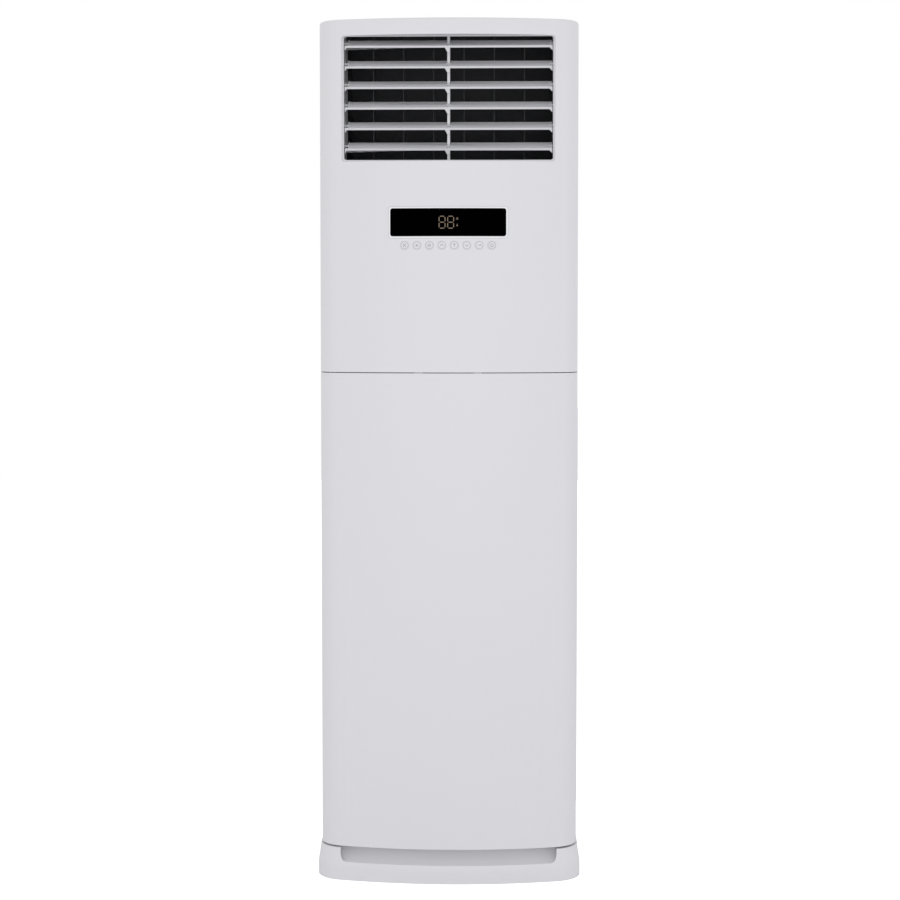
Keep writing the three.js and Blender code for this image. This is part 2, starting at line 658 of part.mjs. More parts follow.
const PANEL_OPENING_HALF = OUTLET_HALF_WIDTH + OUTLET_REVEAL;
const PANEL_OPENING_LOW = OUTLET_LOW - OUTLET_REVEAL;
const PANEL_OPENING_HIGH = OUTLET_HIGH + OUTLET_TOP_REVEAL;
const HOOK_X = 60;
const HOOK_HALF_WIDTH = 8;
const HOOK_THICKNESS = 3;
const HOOK_REACH = 5; // from the hinge line back to the hook's tip
const HOOK_RISE = 6; // from the hinge line up to the hook's top
const HOOK_TIP = 2.5; // thickness of its turned-back tip
const HOOK_SLOT_GAP = 1; // beside the hook; the slot's ends are wider for the swing
const HINGE_SETBACK = 8; // from the front of the cabinet to the hinge line
const HINGE_RISE = 3; // from the middle of the seam up to the hinge line
const HINGE_Y = FRONT + HINGE_SETBACK;
const HINGE_Z = SEAM_HEIGHT + HINGE_RISE;
const BOARD_FRONT = FRONT + BOARD_SETBACK;
const BOARD_HALF_WIDTH = WINDOW_WIDTH / 2 - BOARD_INSET;
const BOARD_LOW = KEY_HEIGHT - BOARD_DROP;
const BOARD_HIGH = WINDOW_CENTRE + WINDOW_HEIGHT / 2 + BOARD_RISE;
const BOSS_RADIUS = 4;
const BOSS_X = BOARD_HALF_WIDTH - 2 * BOSS_RADIUS;
const BOSS_INSET = 7; // from the board's upper and lower edges
const KEY_FLANGE = 1.5;
const KEY_STEM_RADIUS = 3;
const KEY_SIDES = 10;

function windowOutline(grow) {
  const half = WINDOW_WIDTH / 2 + grow;
  const tall = WINDOW_HEIGHT / 2 + grow;
  return roundedRectangle(-half, half, WINDOW_CENTRE - tall, WINDOW_CENTRE + tall,
    WINDOW_CORNER + Math.max(grow, -WINDOW_CORNER / 2));
}

function openingOutline(grow) {
  return roundedRectangle(-PANEL_OPENING_HALF - grow, PANEL_OPENING_HALF + grow,
    PANEL_OPENING_LOW - grow, PANEL_OPENING_HIGH + grow, OUTLET_CORNER + OUTLET_REVEAL / 2 + grow);
}

// The place of one key on the bowed front: how far it is turned and where it stands.
function keyPlace(index) {
  const x = (index - (KEY_COUNT - 1) / 2) * KEY_PITCH;
  const turn = Math.asin(x / FRONT_BOW_RADIUS);
  return { x, y: bowAt(x), turn };
}

// A round piece about the key's own axis, from front to back of the moulding's outer face.
function onKeyAxis(index, profile, steps) {
  const { x, y, turn } = keyPlace(index);
  return turned(profile, steps, { lying: true })
    .rotate([0, 0, THREE.MathUtils.radToDeg(turn)])
    .translate([x, y, KEY_HEIGHT]);
}

function disc(radius, front, back) {
  return [point(0, front), point(radius, front), point(radius, back), point(0, back)];
}

function upperFrontPanel() {
  const inFront = block(-FAR, FAR, -FAR, WRAP_BACK, UPPER_LOW, FAR);
  const outside = roundedTop(0, UPPER_LOW).intersect(inFront);
  const seat = WINDOW_THICKNESS + 2 * SEAT_GAP;
  const before = FRONT - OVERCUT;
  const pocket = through(windowOutline(SEAT_GAP), before, PARTITION);
  const ledge = through(windowOutline(WINDOW_LEDGE), before, PARTITION)
    .intersect(frontBand(ROOT, seat + PANEL_WALL - ROOT, WINDOW_CENTRE - WINDOW_HEIGHT,
      WINDOW_CENTRE + WINDOW_HEIGHT));
  const collar = through(openingOutline(REVEAL_WALL), before, INSERT_FRONT - SEAT_GAP)
    .intersect(outside);
  const bosses = [-BOSS_X, BOSS_X].flatMap((x) => [BOARD_LOW + BOSS_INSET, BOARD_HIGH - BOSS_INSET]
    .map((z) => rod(BOSS_RADIUS, [x, bowAt(x) + ROOT, z], [x, BOARD_FRONT - SEAT_GAP, z], 10)));
  const ribs = [UPPER_LOW + SEAM_RIB_RISE, OUTLET_LOW - OUTLET_RIB_DROP]
    .map((z) => frontBand(ROOT, PANEL_WALL + RIB_DEPTH, z, z + PANEL_WALL));
  const shell = join(
    cut(outside, raise(bodySection(PANEL_WALL), UPPER_LOW - OVERCUT, CABINET_HEIGHT - PANEL_WALL)),
    sideLips(UPPER_LOW, CABINET_HEIGHT - ROOT),
    frontBand(ROOT, PANEL_WALL + PANEL_LIP, UPPER_LOW, UPPER_LOW + PANEL_WALL),
    collar, bosses, ribs, ledge);
  const slotHalf = HOOK_HALF_WIDTH + HOOK_SLOT_GAP;
  const hookSlots = [-HOOK_X, HOOK_X].map((x) => block(x - slotHalf, x + slotHalf,
    HINGE_Y - HOOK_THICKNESS / 2 - HOOK_SLOT_GAP, HINGE_Y + HOOK_REACH + HOOK_SLOT_GAP,
    UPPER_LOW - OVERCUT, UPPER_LOW + PANEL_WALL + OVERCUT));
  const window = cut(pocket, raise(bodySection(seat), WINDOW_CENTRE - WINDOW_HEIGHT,
    WINDOW_CENTRE + WINDOW_HEIGHT));
  const keyHoles = Array.from({ length: KEY_COUNT }, (_, i) => onKeyAxis(
    i, disc(KEY_RADIUS + SLIDE_GAP, -OVERCUT, 2 * PANEL_WALL), KEY_SIDES));
  return cut(shell, through(openingOutline(0), before, PARTITION), hookSlots, window,
    through(windowOutline(-WINDOW_LEDGE), before, PARTITION), keyHoles);
}

// Its ribs run below and above the electric box, which hangs close behind it.
function lowerFrontPanel() {
  const shell = join(
    frontBand(0, PANEL_WALL, LOWER_LOW, LOWER_HIGH),
    sideLips(LOWER_LOW, LOWER_HIGH),
    frontBand(ROOT, PANEL_WALL + PANEL_LIP, LOWER_LOW, LOWER_LOW + PANEL_WALL),
    frontBand(ROOT, PANEL_WALL + PANEL_LIP, LOWER_HIGH - PANEL_WALL, LOWER_HIGH),
    [(LOWER_LOW + BOX_LOW) / 2, TRAY_HIGH]
      .map((z) => frontBand(ROOT, PANEL_WALL + RIB_DEPTH, z, z + PANEL_WALL)));
  const half = HOOK_THICKNESS / 2;
  const tip = HINGE_Y + HOOK_REACH;
  const high = HINGE_Z + HOOK_RISE;
  const hooks = [-HOOK_X, HOOK_X].map((x) => along([
    point(HINGE_Y - half, LOWER_HIGH - PANEL_WALL), point(HINGE_Y + half, LOWER_HIGH - PANEL_WALL),
    point(HINGE_Y + half, high - HOOK_TIP), point(tip, high - HOOK_TIP),
    point(tip, high), point(HINGE_Y - half, high),
  ], x - HOOK_HALF_WIDTH, x + HOOK_HALF_WIDTH));
  return join(shell, hooks);
}

function displayWindow() {
  const low = WINDOW_CENTRE - WINDOW_HEIGHT;
  const high = WINDOW_CENTRE + WINDOW_HEIGHT;
  return through(windowOutline(0), FRONT - OVERCUT, PARTITION)
    .intersect(frontBand(SEAT_GAP, WINDOW_THICKNESS + SEAT_GAP, low, high));
}

function displayBoard() {
  const board = block(-BOARD_HALF_WIDTH, BOARD_HALF_WIDTH,
    BOARD_FRONT, BOARD_FRONT + BOARD_THICKNESS, BOARD_LOW, BOARD_HIGH);
  const digits = block(-DIGITS_WIDTH / 2, DIGITS_WIDTH / 2, BOARD_FRONT - DIGITS_DEPTH,
    BOARD_FRONT + ROOT, WINDOW_CENTRE - DIGITS_HEIGHT / 2, WINDOW_CENTRE + DIGITS_HEIGHT / 2);
  return join(board, digits);
}

function key(index) {
  const { y, turn } = keyPlace(index);
  const reach = (BOARD_FRONT - y) / Math.cos(turn) - KEY_TRAVEL - SLIDE_GAP
    - KEY_STEM_RADIUS * Math.abs(Math.tan(turn));
  const flange = PANEL_WALL + 2 * SLIDE_GAP;
  return onKeyAxis(index, [
    point(0, -KEY_PROUD), point(KEY_RADIUS, -KEY_PROUD), point(KEY_RADIUS, flange),
    point(KEY_RADIUS + KEY_FLANGE, flange), point(KEY_RADIUS + KEY_FLANGE, flange + KEY_FLANGE),
    point(KEY_STEM_RADIUS, flange + KEY_FLANGE), point(KEY_STEM_RADIUS, reach), point(0, reach),
  ], KEY_SIDES);
}

/* ------------------------------ intake grilles and filters ------------------------------ */

function rightInletGrille() {
  const outer = HALF_WIDTH + SEAT_GAP + GRILLE_RIM_THICKNESS;
  const inner = outer - GRILLE_DEPTH;
  const [front, back] = [INTAKE_Y + SLIDE_GAP, INTAKE_BACK - SLIDE_GAP];
  const [low, high] = [INTAKE_LOW + SLIDE_GAP, INTAKE_HIGH - SLIDE_GAP];
  const rim = along(roundedRectangle(INTAKE_Y - GRILLE_RIM, INTAKE_BACK + GRILLE_RIM,
    INTAKE_LOW - GRILLE_RIM, INTAKE_HIGH + GRILLE_RIM, GRILLE_RIM), HALF_WIDTH + SEAT_GAP, outer);
  const frame = join(rim, block(inner, outer - GRILLE_RIM_THICKNESS / 2, front, back, low, high));
  const opening = block(inner - OVERCUT, outer + OVERCUT,
    front + GRILLE_BORDER, back - GRILLE_BORDER, low + GRILLE_BORDER, high - GRILLE_BORDER);
  const count = Math.floor((high - low - 2 * GRILLE_BORDER) / GRILLE_PITCH);
  const tip = outer - SLAT_SETBACK;
  const slats = Array.from({ length: count }, (_, i) => {
    const z = low + GRILLE_BORDER + (i + 0.75) * GRILLE_PITCH;
    return through([
      point(tip - SLAT_DEPTH, z), point(tip, z - SLAT_DROP),
      point(tip, z - SLAT_DROP + SLAT_THICKNESS), point(tip - SLAT_DEPTH, z + SLAT_THICKNESS),
    ], front + GRILLE_BORDER / 2, back - GRILLE_BORDER / 2);
  });
  return join(cut(frame, opening), slats);
}

function rightAirFilter() {
  const inner = HALF_WIDTH + SEAT_GAP + GRILLE_RIM_THICKNESS - GRILLE_DEPTH;
  const margin = SLIDE_GAP + GRILLE_BORDER + SEAT_GAP;
  const [front, back] = [INTAKE_Y + margin, INTAKE_BACK - margin];
  const [low, high] = [INTAKE_LOW + margin, INTAKE_HIGH - margin];
  const outer = inner + FILTER_THICKNESS - 2 * SEAT_GAP;
  const frame = block(inner, outer, front, back, low, high);
  const cell = (high - low - FILTER_BORDER) / FILTER_CELLS;
  const net = inner + (FILTER_THICKNESS - FILTER_NET) / 2;
  const openings = Array.from({ length: FILTER_CELLS }, (_, i) => {
    const bottom = low + FILTER_BORDER + i * cell;
    return [
      block(inner - OVERCUT, net, front + FILTER_BORDER, back - FILTER_BORDER,
        bottom, bottom + cell - FILTER_BORDER),
      block(net + FILTER_NET, outer + OVERCUT, front + FILTER_BORDER, back - FILTER_BORDER,
        bottom, bottom + cell - FILTER_BORDER),
    ];
  });
  return cut(frame, openings.flat());
}

/* ------------------------------ outlet insert, louvers and vanes ------------------------------ */

const louverZ = (index) => TOP_PIVOT - index * LOUVER_PITCH;
const vaneX = (index) => (index - (VANE_COUNT - 1) / 2) * VANE_PITCH;
const BLADE_HALF = OUTLET_HALF_WIDTH - LOUVER_END_GAP;
const PIN_REACH = DUCT_HALF + INSERT_WALL - SEAT_GAP;
const RIB_FRONT = LOUVER_Y - 2; // clear of the tab when the louver points right down
const RIB_BACK = LOUVER_Y + 13;
const MIDDLE_PIN_RADIUS = 1.8;
const MOTOR_X = vaneX(VANE_COUNT - 1) + MOTOR_OFFSET;
const VANE_LOW = DUCT_LOW + 2.5;
const VANE_HIGH = DUCT_HIGH - 3;
const VANE_LINK_LOW = DUCT_LOW + VANE_LINK_RISE;

function outletFrame() {
  const flange = cut(
    through(roundedRectangle(-OUTLET_HALF_WIDTH - INSERT_FLANGE, OUTLET_HALF_WIDTH + INSERT_FLANGE,
      OUTLET_LOW - INSERT_FLANGE, OUTLET_HIGH + INSERT_FLANGE, OUTLET_CORNER),
    INSERT_FRONT, INSERT_FRONT + INSERT_WALL),
    through(roundedRectangle(-OUTLET_HALF_WIDTH, OUTLET_HALF_WIDTH, OUTLET_LOW, OUTLET_HIGH,
      OUTLET_CORNER), INSERT_FRONT - OVERCUT, INSERT_BACK));
  const wall = DUCT_HALF + INSERT_WALL;
  const [floor, roof] = [DUCT_LOW - INSERT_WALL, DUCT_HIGH + INSERT_WALL];
  const duct = cut(
    block(-wall, wall, INSERT_FRONT + ROOT, INSERT_BACK, floor, roof),
    block(-DUCT_HALF, DUCT_HALF, INSERT_FRONT, INSERT_BACK + OVERCUT, DUCT_LOW, DUCT_HIGH));
  const rib = block(-RIB_THICKNESS / 2, RIB_THICKNESS / 2, RIB_FRONT, RIB_BACK,
    DUCT_LOW - ROOT, DUCT_HIGH + ROOT);
  const level = (radius, left, right, z) => bore(radius + SLIDE_GAP,
    [left, LOUVER_Y, z], [right, LOUVER_Y, z]);
  const slotHalf = MIDDLE_PIN_RADIUS + SLIDE_GAP;
  const holes = Array.from({ length: LOUVER_COUNT }, (_, i) => [
    level(PIVOT_RADIUS, -wall - OVERCUT, -DUCT_HALF + OVERCUT, louverZ(i)),
    level(PIVOT_RADIUS, DUCT_HALF - OVERCUT, wall + OVERCUT, louverZ(i)),
    level(MIDDLE_PIN_RADIUS, -RIB_THICKNESS, RIB_THICKNESS, louverZ(i)),
    block(-RIB_THICKNESS, RIB_THICKNESS, RIB_FRONT - OVERCUT, LOUVER_Y,
      louverZ(i) - slotHalf, louverZ(i) + slotHalf),
  ]);
  const upright = (x, radius, low, high) => bore(radius,
    [x, VANE_Y, low - OVERCUT], [x, VANE_Y, high + OVERCUT]);
  const vaneHoles = Array.from({ length: VANE_COUNT }, (_, i) => [
    upright(vaneX(i), PIVOT_RADIUS + SLIDE_GAP, floor, DUCT_LOW),
    upright(vaneX(i), PIVOT_RADIUS + SLIDE_GAP, DUCT_HIGH, roof),
  ]);
  const shaftHole = upright(MOTOR_X, PIVOT_RADIUS + 2 * SLIDE_GAP, floor, DUCT_LOW);
  return cut(join(duct, flange, rib), holes.flat(), vaneHoles.flat(), shaftHole);
}

// A level louver about its own pivot: blade, thick front lip, pins, crank and end gussets.
function louverBody() {
  const lipBack = LIP_DEPTH - LOUVER_FRONT;
  const lip = block(-BLADE_HALF, BLADE_HALF, -LOUVER_FRONT, lipBack, -LIP_HEIGHT / 2, LIP_HEIGHT / 2);
  const web = block(LINK_SIDE, BLADE_HALF, lipBack - ROOT, LOUVER_REAR,
    -LOUVER_THICKNESS / 2, LOUVER_THICKNESS / 2);
  const slotHalf = RIB_THICKNESS / 2 + RIB_SIDE_GAP;
  const rearSlot = block(-slotHalf, slotHalf, lipBack, LOUVER_REAR + OVERCUT, -LIP_HEIGHT, LIP_HEIGHT);
  const middlePin = rod(MIDDLE_PIN_RADIUS, [-RIB_THICKNESS, 0, 0], [RIB_THICKNESS, 0, 0]);
  const lugEnd = LINK_SIDE + LUG_WALL;
  const lugHalf = PIVOT_RADIUS + SLIDE_GAP;
  const lugReach = CRANK_RADIUS + CRANK_PIN_RADIUS + LUG_WALL;
  const lug = block(LINK_SIDE, lugEnd, -PIVOT_RADIUS - LUG_WALL, lugReach, -lugHalf, lugHalf);
  const pins = [
    rod(PIVOT_RADIUS, [-PIN_REACH, 0, 0], [LINK_SIDE + ROOT, 0, 0]),
    rod(PIVOT_RADIUS, [BLADE_HALF - PIN_ROOT, 0, 0], [PIN_REACH, 0, 0]),
    rod(CRANK_PIN_RADIUS, [ROOT - DUCT_HALF, CRANK_RADIUS, 0], [LINK_SIDE + ROOT, CRANK_RADIUS, 0]),
  ];
  const gusset = (outline) => through(outline, -LOUVER_FRONT, lipBack);
  const gussets = [
    gusset([point(-BLADE_HALF, 0), point(-BLADE_HALF, -LEFT_GUSSET_HEIGHT),
      point(LEFT_GUSSET_WIDTH - BLADE_HALF, 0)]),
    gusset([point(BLADE_HALF - RIGHT_GUSSET_WIDTH, 0), point(BLADE_HALF, -RIGHT_GUSSET_HEIGHT),
      point(BLADE_HALF, 0)]),
    gusset([
      point(RIB_THICKNESS / 2 - TAB_WIDTH, 0), point(-RIB_THICKNESS / 2, -TAB_LENGTH),
      point(RIB_THICKNESS / 2, -TAB_LENGTH), point(RIB_THICKNESS / 2, 0),
    ]),
  ];
  return join(cut(join(lip, web), rearSlot), middlePin, lug, pins, gussets);
}

function louver(index) {
  return louverBody().rotate([LOUVER_TILT, 0, 0]).translate([0, LOUVER_Y, louverZ(index)]);
}

const LINK_SIDE = -(DUCT_HALF - LINK_THICKNESS - LINK_ROOM);
const crankY = LOUVER_Y + CRANK_RADIUS * Math.cos(radians(LOUVER_TILT));
const crankZ = (index) => louverZ(index) + CRANK_RADIUS * Math.sin(radians(LOUVER_TILT));

function louverLink() {
  const inner = LINK_SIDE - LUG_WALL;
  const outer = inner - LINK_THICKNESS;
  const last = LOUVER_COUNT - 1;
  const half = LINK_WIDTH / 2;
  const bar = along(roundedRectangle(crankY - half, crankY + half,
    crankZ(last) - LINK_END, crankZ(0) + LINK_END, half * 0.8), outer, inner);
  return cut(bar, Array.from({ length: LOUVER_COUNT }, (_, i) => bore(CRANK_PIN_RADIUS + LINK_GAP,
    [outer - OVERCUT, crankY, crankZ(i)], [inner + OVERCUT, crankY, crankZ(i)])));
}

function vane(index) {
  const x = vaneX(index);
  const front = VANE_Y - VANE_CHORD / 2;
  const back = VANE_Y + VANE_CHORD / 2;
  const notchHigh = VANE_LINK_LOW + LINK_THICKNESS + VANE_NOTCH_GAP;
  const notchFront = VANE_Y + VANE_ARM - VANE_LINK_WIDTH / 2 - VANE_NOTCH_GAP;
  const blade = along([
    point(front, VANE_LOW), point(notchFront, VANE_LOW), point(notchFront, notchHigh),
    point(back, notchHigh), point(back, VANE_HIGH), point(front, VANE_HIGH),
  ], x - VANE_THICKNESS / 2, x + VANE_THICKNESS / 2);
  const pinY = VANE_Y + VANE_ARM;
  const [floor, roof] = [DUCT_LOW - INSERT_WALL + SEAT_GAP, DUCT_HIGH + INSERT_WALL - SEAT_GAP];
  return join(blade,
    rod(PIVOT_RADIUS, [x, VANE_Y, floor], [x, VANE_Y, VANE_LOW + PIN_ROOT]),
    rod(PIVOT_RADIUS, [x, VANE_Y, VANE_HIGH - PIN_ROOT], [x, VANE_Y, roof]),
    rod(CRANK_PIN_RADIUS, [x, pinY, VANE_LINK_LOW - CRANK_PIN_END],
      [x, pinY, notchHigh + PIN_ROOT]));
}

function vaneLink() {
  const half = VANE_LINK_WIDTH / 2;
  const y = VANE_Y + VANE_ARM;
  const bar = raise(roundedRectangle(vaneX(0) - VANE_LINK_END, MOTOR_X + VANE_LINK_END,
    y - half, y + half, half * 0.8), VANE_LINK_LOW, VANE_LINK_LOW + LINK_THICKNESS);
  const spots = [...Array.from({ length: VANE_COUNT }, (_, i) => vaneX(i)), MOTOR_X];
  return cut(bar, spots.map((x) => bore(CRANK_PIN_RADIUS + LINK_GAP,
    [x, y, VANE_LINK_LOW - OVERCUT], [x, y, VANE_LINK_LOW + LINK_THICKNESS + OVERCUT])));
}

function swingCrank() {
  const y = VANE_Y + VANE_ARM;
  const low = DUCT_LOW + CRANK_RISE;
  const high = low + CRANK_THICKNESS;
  return join(
    rod(PIVOT_RADIUS + LUG_WALL, [MOTOR_X, VANE_Y, low], [MOTOR_X, VANE_Y, high], 8),
    rod(CRANK_PIN_RADIUS + LUG_WALL, [MOTOR_X, y, low], [MOTOR_X, y, high], 8),
    block(MOTOR_X - CRANK_ARM, MOTOR_X + CRANK_ARM, VANE_Y, y, low, high),
    rod(CRANK_PIN_RADIUS, [MOTOR_X, y, low + ROOT],
      [MOTOR_X, y, VANE_LINK_LOW + LINK_THICKNESS + CRANK_PIN_END]),
    rod(PIVOT_RADIUS, [MOTOR_X, VANE_Y, DUCT_LOW - INSERT_WALL], [MOTOR_X, VANE_Y, low + ROOT]));
}

function swingMotor() {
  const high = DUCT_LOW - INSERT_WALL - SEAT_GAP;
  const can = turned([
    point(0, high - MOTOR_HEIGHT), point(MOTOR_RADIUS - MOTOR_EDGE, high - MOTOR_HEIGHT),
    point(MOTOR_RADIUS, high - MOTOR_HEIGHT + MOTOR_EDGE), point(MOTOR_RADIUS, high),
    point(0, high),
  ], 12, { x: MOTOR_X, y: VANE_Y });
  const ear = MOTOR_RADIUS + MOTOR_EAR;
  const half = MOTOR_EAR / 2;
  const ears = raise(roundedRectangle(MOTOR_X - half, MOTOR_X + half,
    VANE_Y - ear, VANE_Y + ear, half * 0.9, 2), high - MOTOR_EAR_THICKNESS, high);
  const plug = block(MOTOR_X - MOTOR_RADIUS - MOTOR_PLUG, MOTOR_X,
    VANE_Y - MOTOR_PLUG, VANE_Y + MOTOR_PLUG,
    high - MOTOR_HEIGHT + 2 * MOTOR_EDGE, high - 2 * MOTOR_EAR_THICKNESS);
  return join(can, ears, plug);
}

/* ------------------------------ blower ------------------------------ */

const CUTOFF_ANGLE = radians(70);
const SCROLL_STEPS = 20;
const CASING_TOP = TRAY_LOW - SEAT_GAP;
const LEG_SPREAD = 100; // from the wheel's middle to each leg
const LEG_FOOT = 14; // half the width of a leg's foot
const LEG_SETBACK = 6;
const LEG_SHEET = 3;
const SHAFT_HOLE_RADIUS = 14;
const SCROLL_START = WHEEL_RADIUS + CUTOFF_GAP;
const OUTLET_LEFT = WHEEL_X + SCROLL_START * Math.cos(CUTOFF_ANGLE);
const OUTLET_RIGHT = WHEEL_X + SCROLL_START + SCROLL_GROWTH;

// The scroll and its upright outlet, grown by the wall thickness for the outside.
function scrollSolid(grow, front, back, top) {
  const spiral = Array.from({ length: SCROLL_STEPS + 1 }, (_, i) => {
    const share = i / SCROLL_STEPS;
    const angle = CUTOFF_ANGLE + share * (2 * Math.PI - CUTOFF_ANGLE);
    const radius = SCROLL_START + grow + SCROLL_GROWTH * share;
    return point(WHEEL_X + radius * Math.cos(angle), WHEEL_Z + radius * Math.sin(angle));
  });
  return join(through(spiral, front, back),
    block(OUTLET_LEFT - grow, OUTLET_RIGHT + grow, front, back, WHEEL_Z, top));
}

function scrollCasing() {
  const outside = scrollSolid(CASING_WALL, CASING_Y, CASING_BACK, CASING_TOP);
  const [front, back] = [CASING_Y + CASING_WALL, CASING_BACK - CASING_WALL];
  const inside = scrollSolid(0, front, back, CASING_TOP + OVERCUT);
  const ground = PAN_LOW + PAN_SHEET + SEAT_GAP;
  const upright = (x, half, high) => block(x - half, x + half,
    CASING_Y + LEG_SETBACK, CASING_BACK - LEG_SETBACK, ground, high);
  const legs = [WHEEL_X - LEG_SPREAD, WHEEL_X + LEG_SPREAD].flatMap((x) => [
    upright(x, CASING_WALL, WHEEL_Z - SCROLL_START), upright(x, LEG_FOOT, ground + LEG_SHEET)]);
  const eye = through(circle(WHEEL_X, WHEEL_Z, EYE_RADIUS + CASING_WALL, WHEEL_BLADES),
    CASING_Y - OVERCUT, front + OVERCUT);
  const shaftHole = through(circle(WHEEL_X, WHEEL_Z, SHAFT_HOLE_RADIUS, HOLE_SIDES),
    back - OVERCUT, CASING_BACK + OVERCUT);
  return cut(join(outside, legs), inside, eye, shaftHole);
}

// A bell mouth that leads the air into the wheel.
function inletRing() {
  const front = CASING_Y - SEAT_GAP;
  const tip = WHEEL_FRONT - RING_WALL;
  const neck = EYE_RADIUS - 2 * RING_WALL;
  const profile = [
    point(EYE_RADIUS + RING_FLANGE, front - RING_WALL), point(EYE_RADIUS + RING_FLANGE, front),
    point(EYE_RADIUS, front), point(neck + RING_WALL, tip), point(neck, tip),
    point(EYE_RADIUS - RING_WALL, front - RING_WALL),
    point(EYE_RADIUS + RING_FLANGE / 3, front - RING_ROLL),
    point(EYE_RADIUS + RING_FLANGE, front - RING_WALL),
  ];
  return turned(profile, WHEEL_BLADES, { x: WHEEL_X, z: WHEEL_Z, lying: true });
}

function fanWheel() {
  const ringInside = WHEEL_RADIUS - BLADE_CHORD;
  const hub = SHAFT_RADIUS + HUB_WALL;
  const inside = SHAFT_RADIUS + SLIDE_GAP;
  const hubFront = WHEEL_BACK - HUB_LENGTH;
  const plateFront = WHEEL_BACK - WHEEL_PLATE;
  const plate = turned([
    point(inside, hubFront), point(hub, hubFront), point(hub, WHEEL_BACK - PLATE_SLOPE_START),
    point(hub + PLATE_SLOPE_WIDTH, plateFront), point(WHEEL_RADIUS, plateFront),
    point(WHEEL_RADIUS, WHEEL_BACK), point(inside, WHEEL_BACK), point(inside, hubFront),
  ], WHEEL_BLADES, { lying: true });
  const ring = turned([
    point(ringInside, WHEEL_FRONT), point(WHEEL_RADIUS, WHEEL_FRONT),
    point(WHEEL_RADIUS, WHEEL_FRONT + WHEEL_PLATE), point(ringInside, WHEEL_FRONT + WHEEL_PLATE),
    point(ringInside, WHEEL_FRONT),
  ], WHEEL_BLADES, { lying: true });
  const blades = Array.from({ length: WHEEL_BLADES }, (_, i) => {
    const middle = (2 * Math.PI * (i + 0.3)) / WHEEL_BLADES;
    const line = (offset) => [0, 0.5, 1].map((share) => {
      const radius = ringInside + ROOT + (BLADE_CHORD - 2 * ROOT) * share;
      const lean = middle + BLADE_LEAN * share ** 2;
      return point(radius * Math.cos(lean) - offset * Math.sin(lean),
        radius * Math.sin(lean) + offset * Math.cos(lean));
    });
    return through([...line(-BLADE_THICKNESS / 2), ...line(BLADE_THICKNESS / 2).reverse()],
      WHEEL_FRONT + WHEEL_PLATE / 2, WHEEL_BACK - WHEEL_PLATE / 2);
  });
  return join(plate, ring, blades).translate([WHEEL_X, 0, WHEEL_Z]);
}

const FAN_MOTOR_EDGE = 5;
const BRACKET_MARGIN = 20; // from the motor's can to the bracket's edge
const BRACKET_LEG = 14;
const BRACKET_SHEET = 2;

function fanMotor() {
  const shaftEnd = WHEEL_BACK - HUB_LENGTH - SHAFT_REACH;
  const face = FAN_MOTOR_RADIUS - FAN_MOTOR_EDGE;
  const profile = [
    point(0, shaftEnd), point(SHAFT_RADIUS, shaftEnd), point(SHAFT_RADIUS, MOTOR_FRONT),
    point(face, MOTOR_FRONT), point(FAN_MOTOR_RADIUS, MOTOR_FRONT + FAN_MOTOR_EDGE),
    point(FAN_MOTOR_RADIUS, MOTOR_BACK - FAN_MOTOR_EDGE), point(face, MOTOR_BACK),
    point(0, MOTOR_BACK),
  ];
  return turned(profile, HOLE_SIDES, { x: WHEEL_X, z: WHEEL_Z, lying: true });
}

function motorBracket() {
  const front = MOTOR_BACK + SEAT_GAP;
  const back = front + BRACKET_SHEET;
  const reach = FAN_MOTOR_RADIUS + BRACKET_MARGIN;
  const plate = block(WHEEL_X - reach, WHEEL_X + reach, front, back,
    WHEEL_Z - reach, WHEEL_Z + reach);
  const window = through(circle(WHEEL_X, WHEEL_Z, FAN_MOTOR_RADIUS - BRACKET_MARGIN, HOLE_SIDES),
    front - OVERCUT, back + OVERCUT);
  const half = BRACKET_LEG / 2;
  const legs = [-1, 1].flatMap((side) => [-1, 1].map((end) => {
    const x = WHEEL_X + side * (reach - half);
    const z = WHEEL_Z + end * (reach - half);
    return block(x - half, x + half, CASING_BACK + SEAT_GAP, back, z - half, z + half);
  }));
  return join(cut(plate, window), legs);
}

/* ------------------------------ upper chamber ------------------------------ */

const TRAY_HALF = HALF_WIDTH - TRAY_MARGIN;
const TRAY_FRONT = PARTITION + SHEET + SEAT_GAP;
const TRAY_BACK = BACK - SHEET - BEAD_DEPTH - SEAT_GAP;
const LINER_INSIDE = DUCT_HALF + INSERT_WALL + LINER_GAP;
const GAS_PIPE_X = LINER_INSIDE - GAS_PIPE_MARGIN;
const LIQUID_PIPE_X = GAS_PIPE_X - PIPE_SPACING;
const PIPE_Y = BACK - PIPE_REAR_GAP;
const HOSE_MARGIN = 21; // from the tray's side
const HOSE_SETBACK = 26.5; // from the tray's front
const HOSE_X = HOSE_MARGIN - TRAY_HALF;
const HOSE_Y = TRAY_FRONT + HOSE_SETBACK;
const SPIGOT_RADIUS = 6;
const SPIGOT_WALL = 2;
const SPIGOT_LENGTH = 22;
const SLEEVE_WALL = 4;
const SLEEVE_HEIGHT = 25;
const SLEEVE_GAP = 1; // round the pipe
const HOSE_BORE = 7;
const HOSE_END_GAP = 12; // from the base pan to the hose's end
const HOSE_SWAY = [[0, 0], [-2, -2], [-4, -4], [0, 0], [6, 2], [8, 4]];

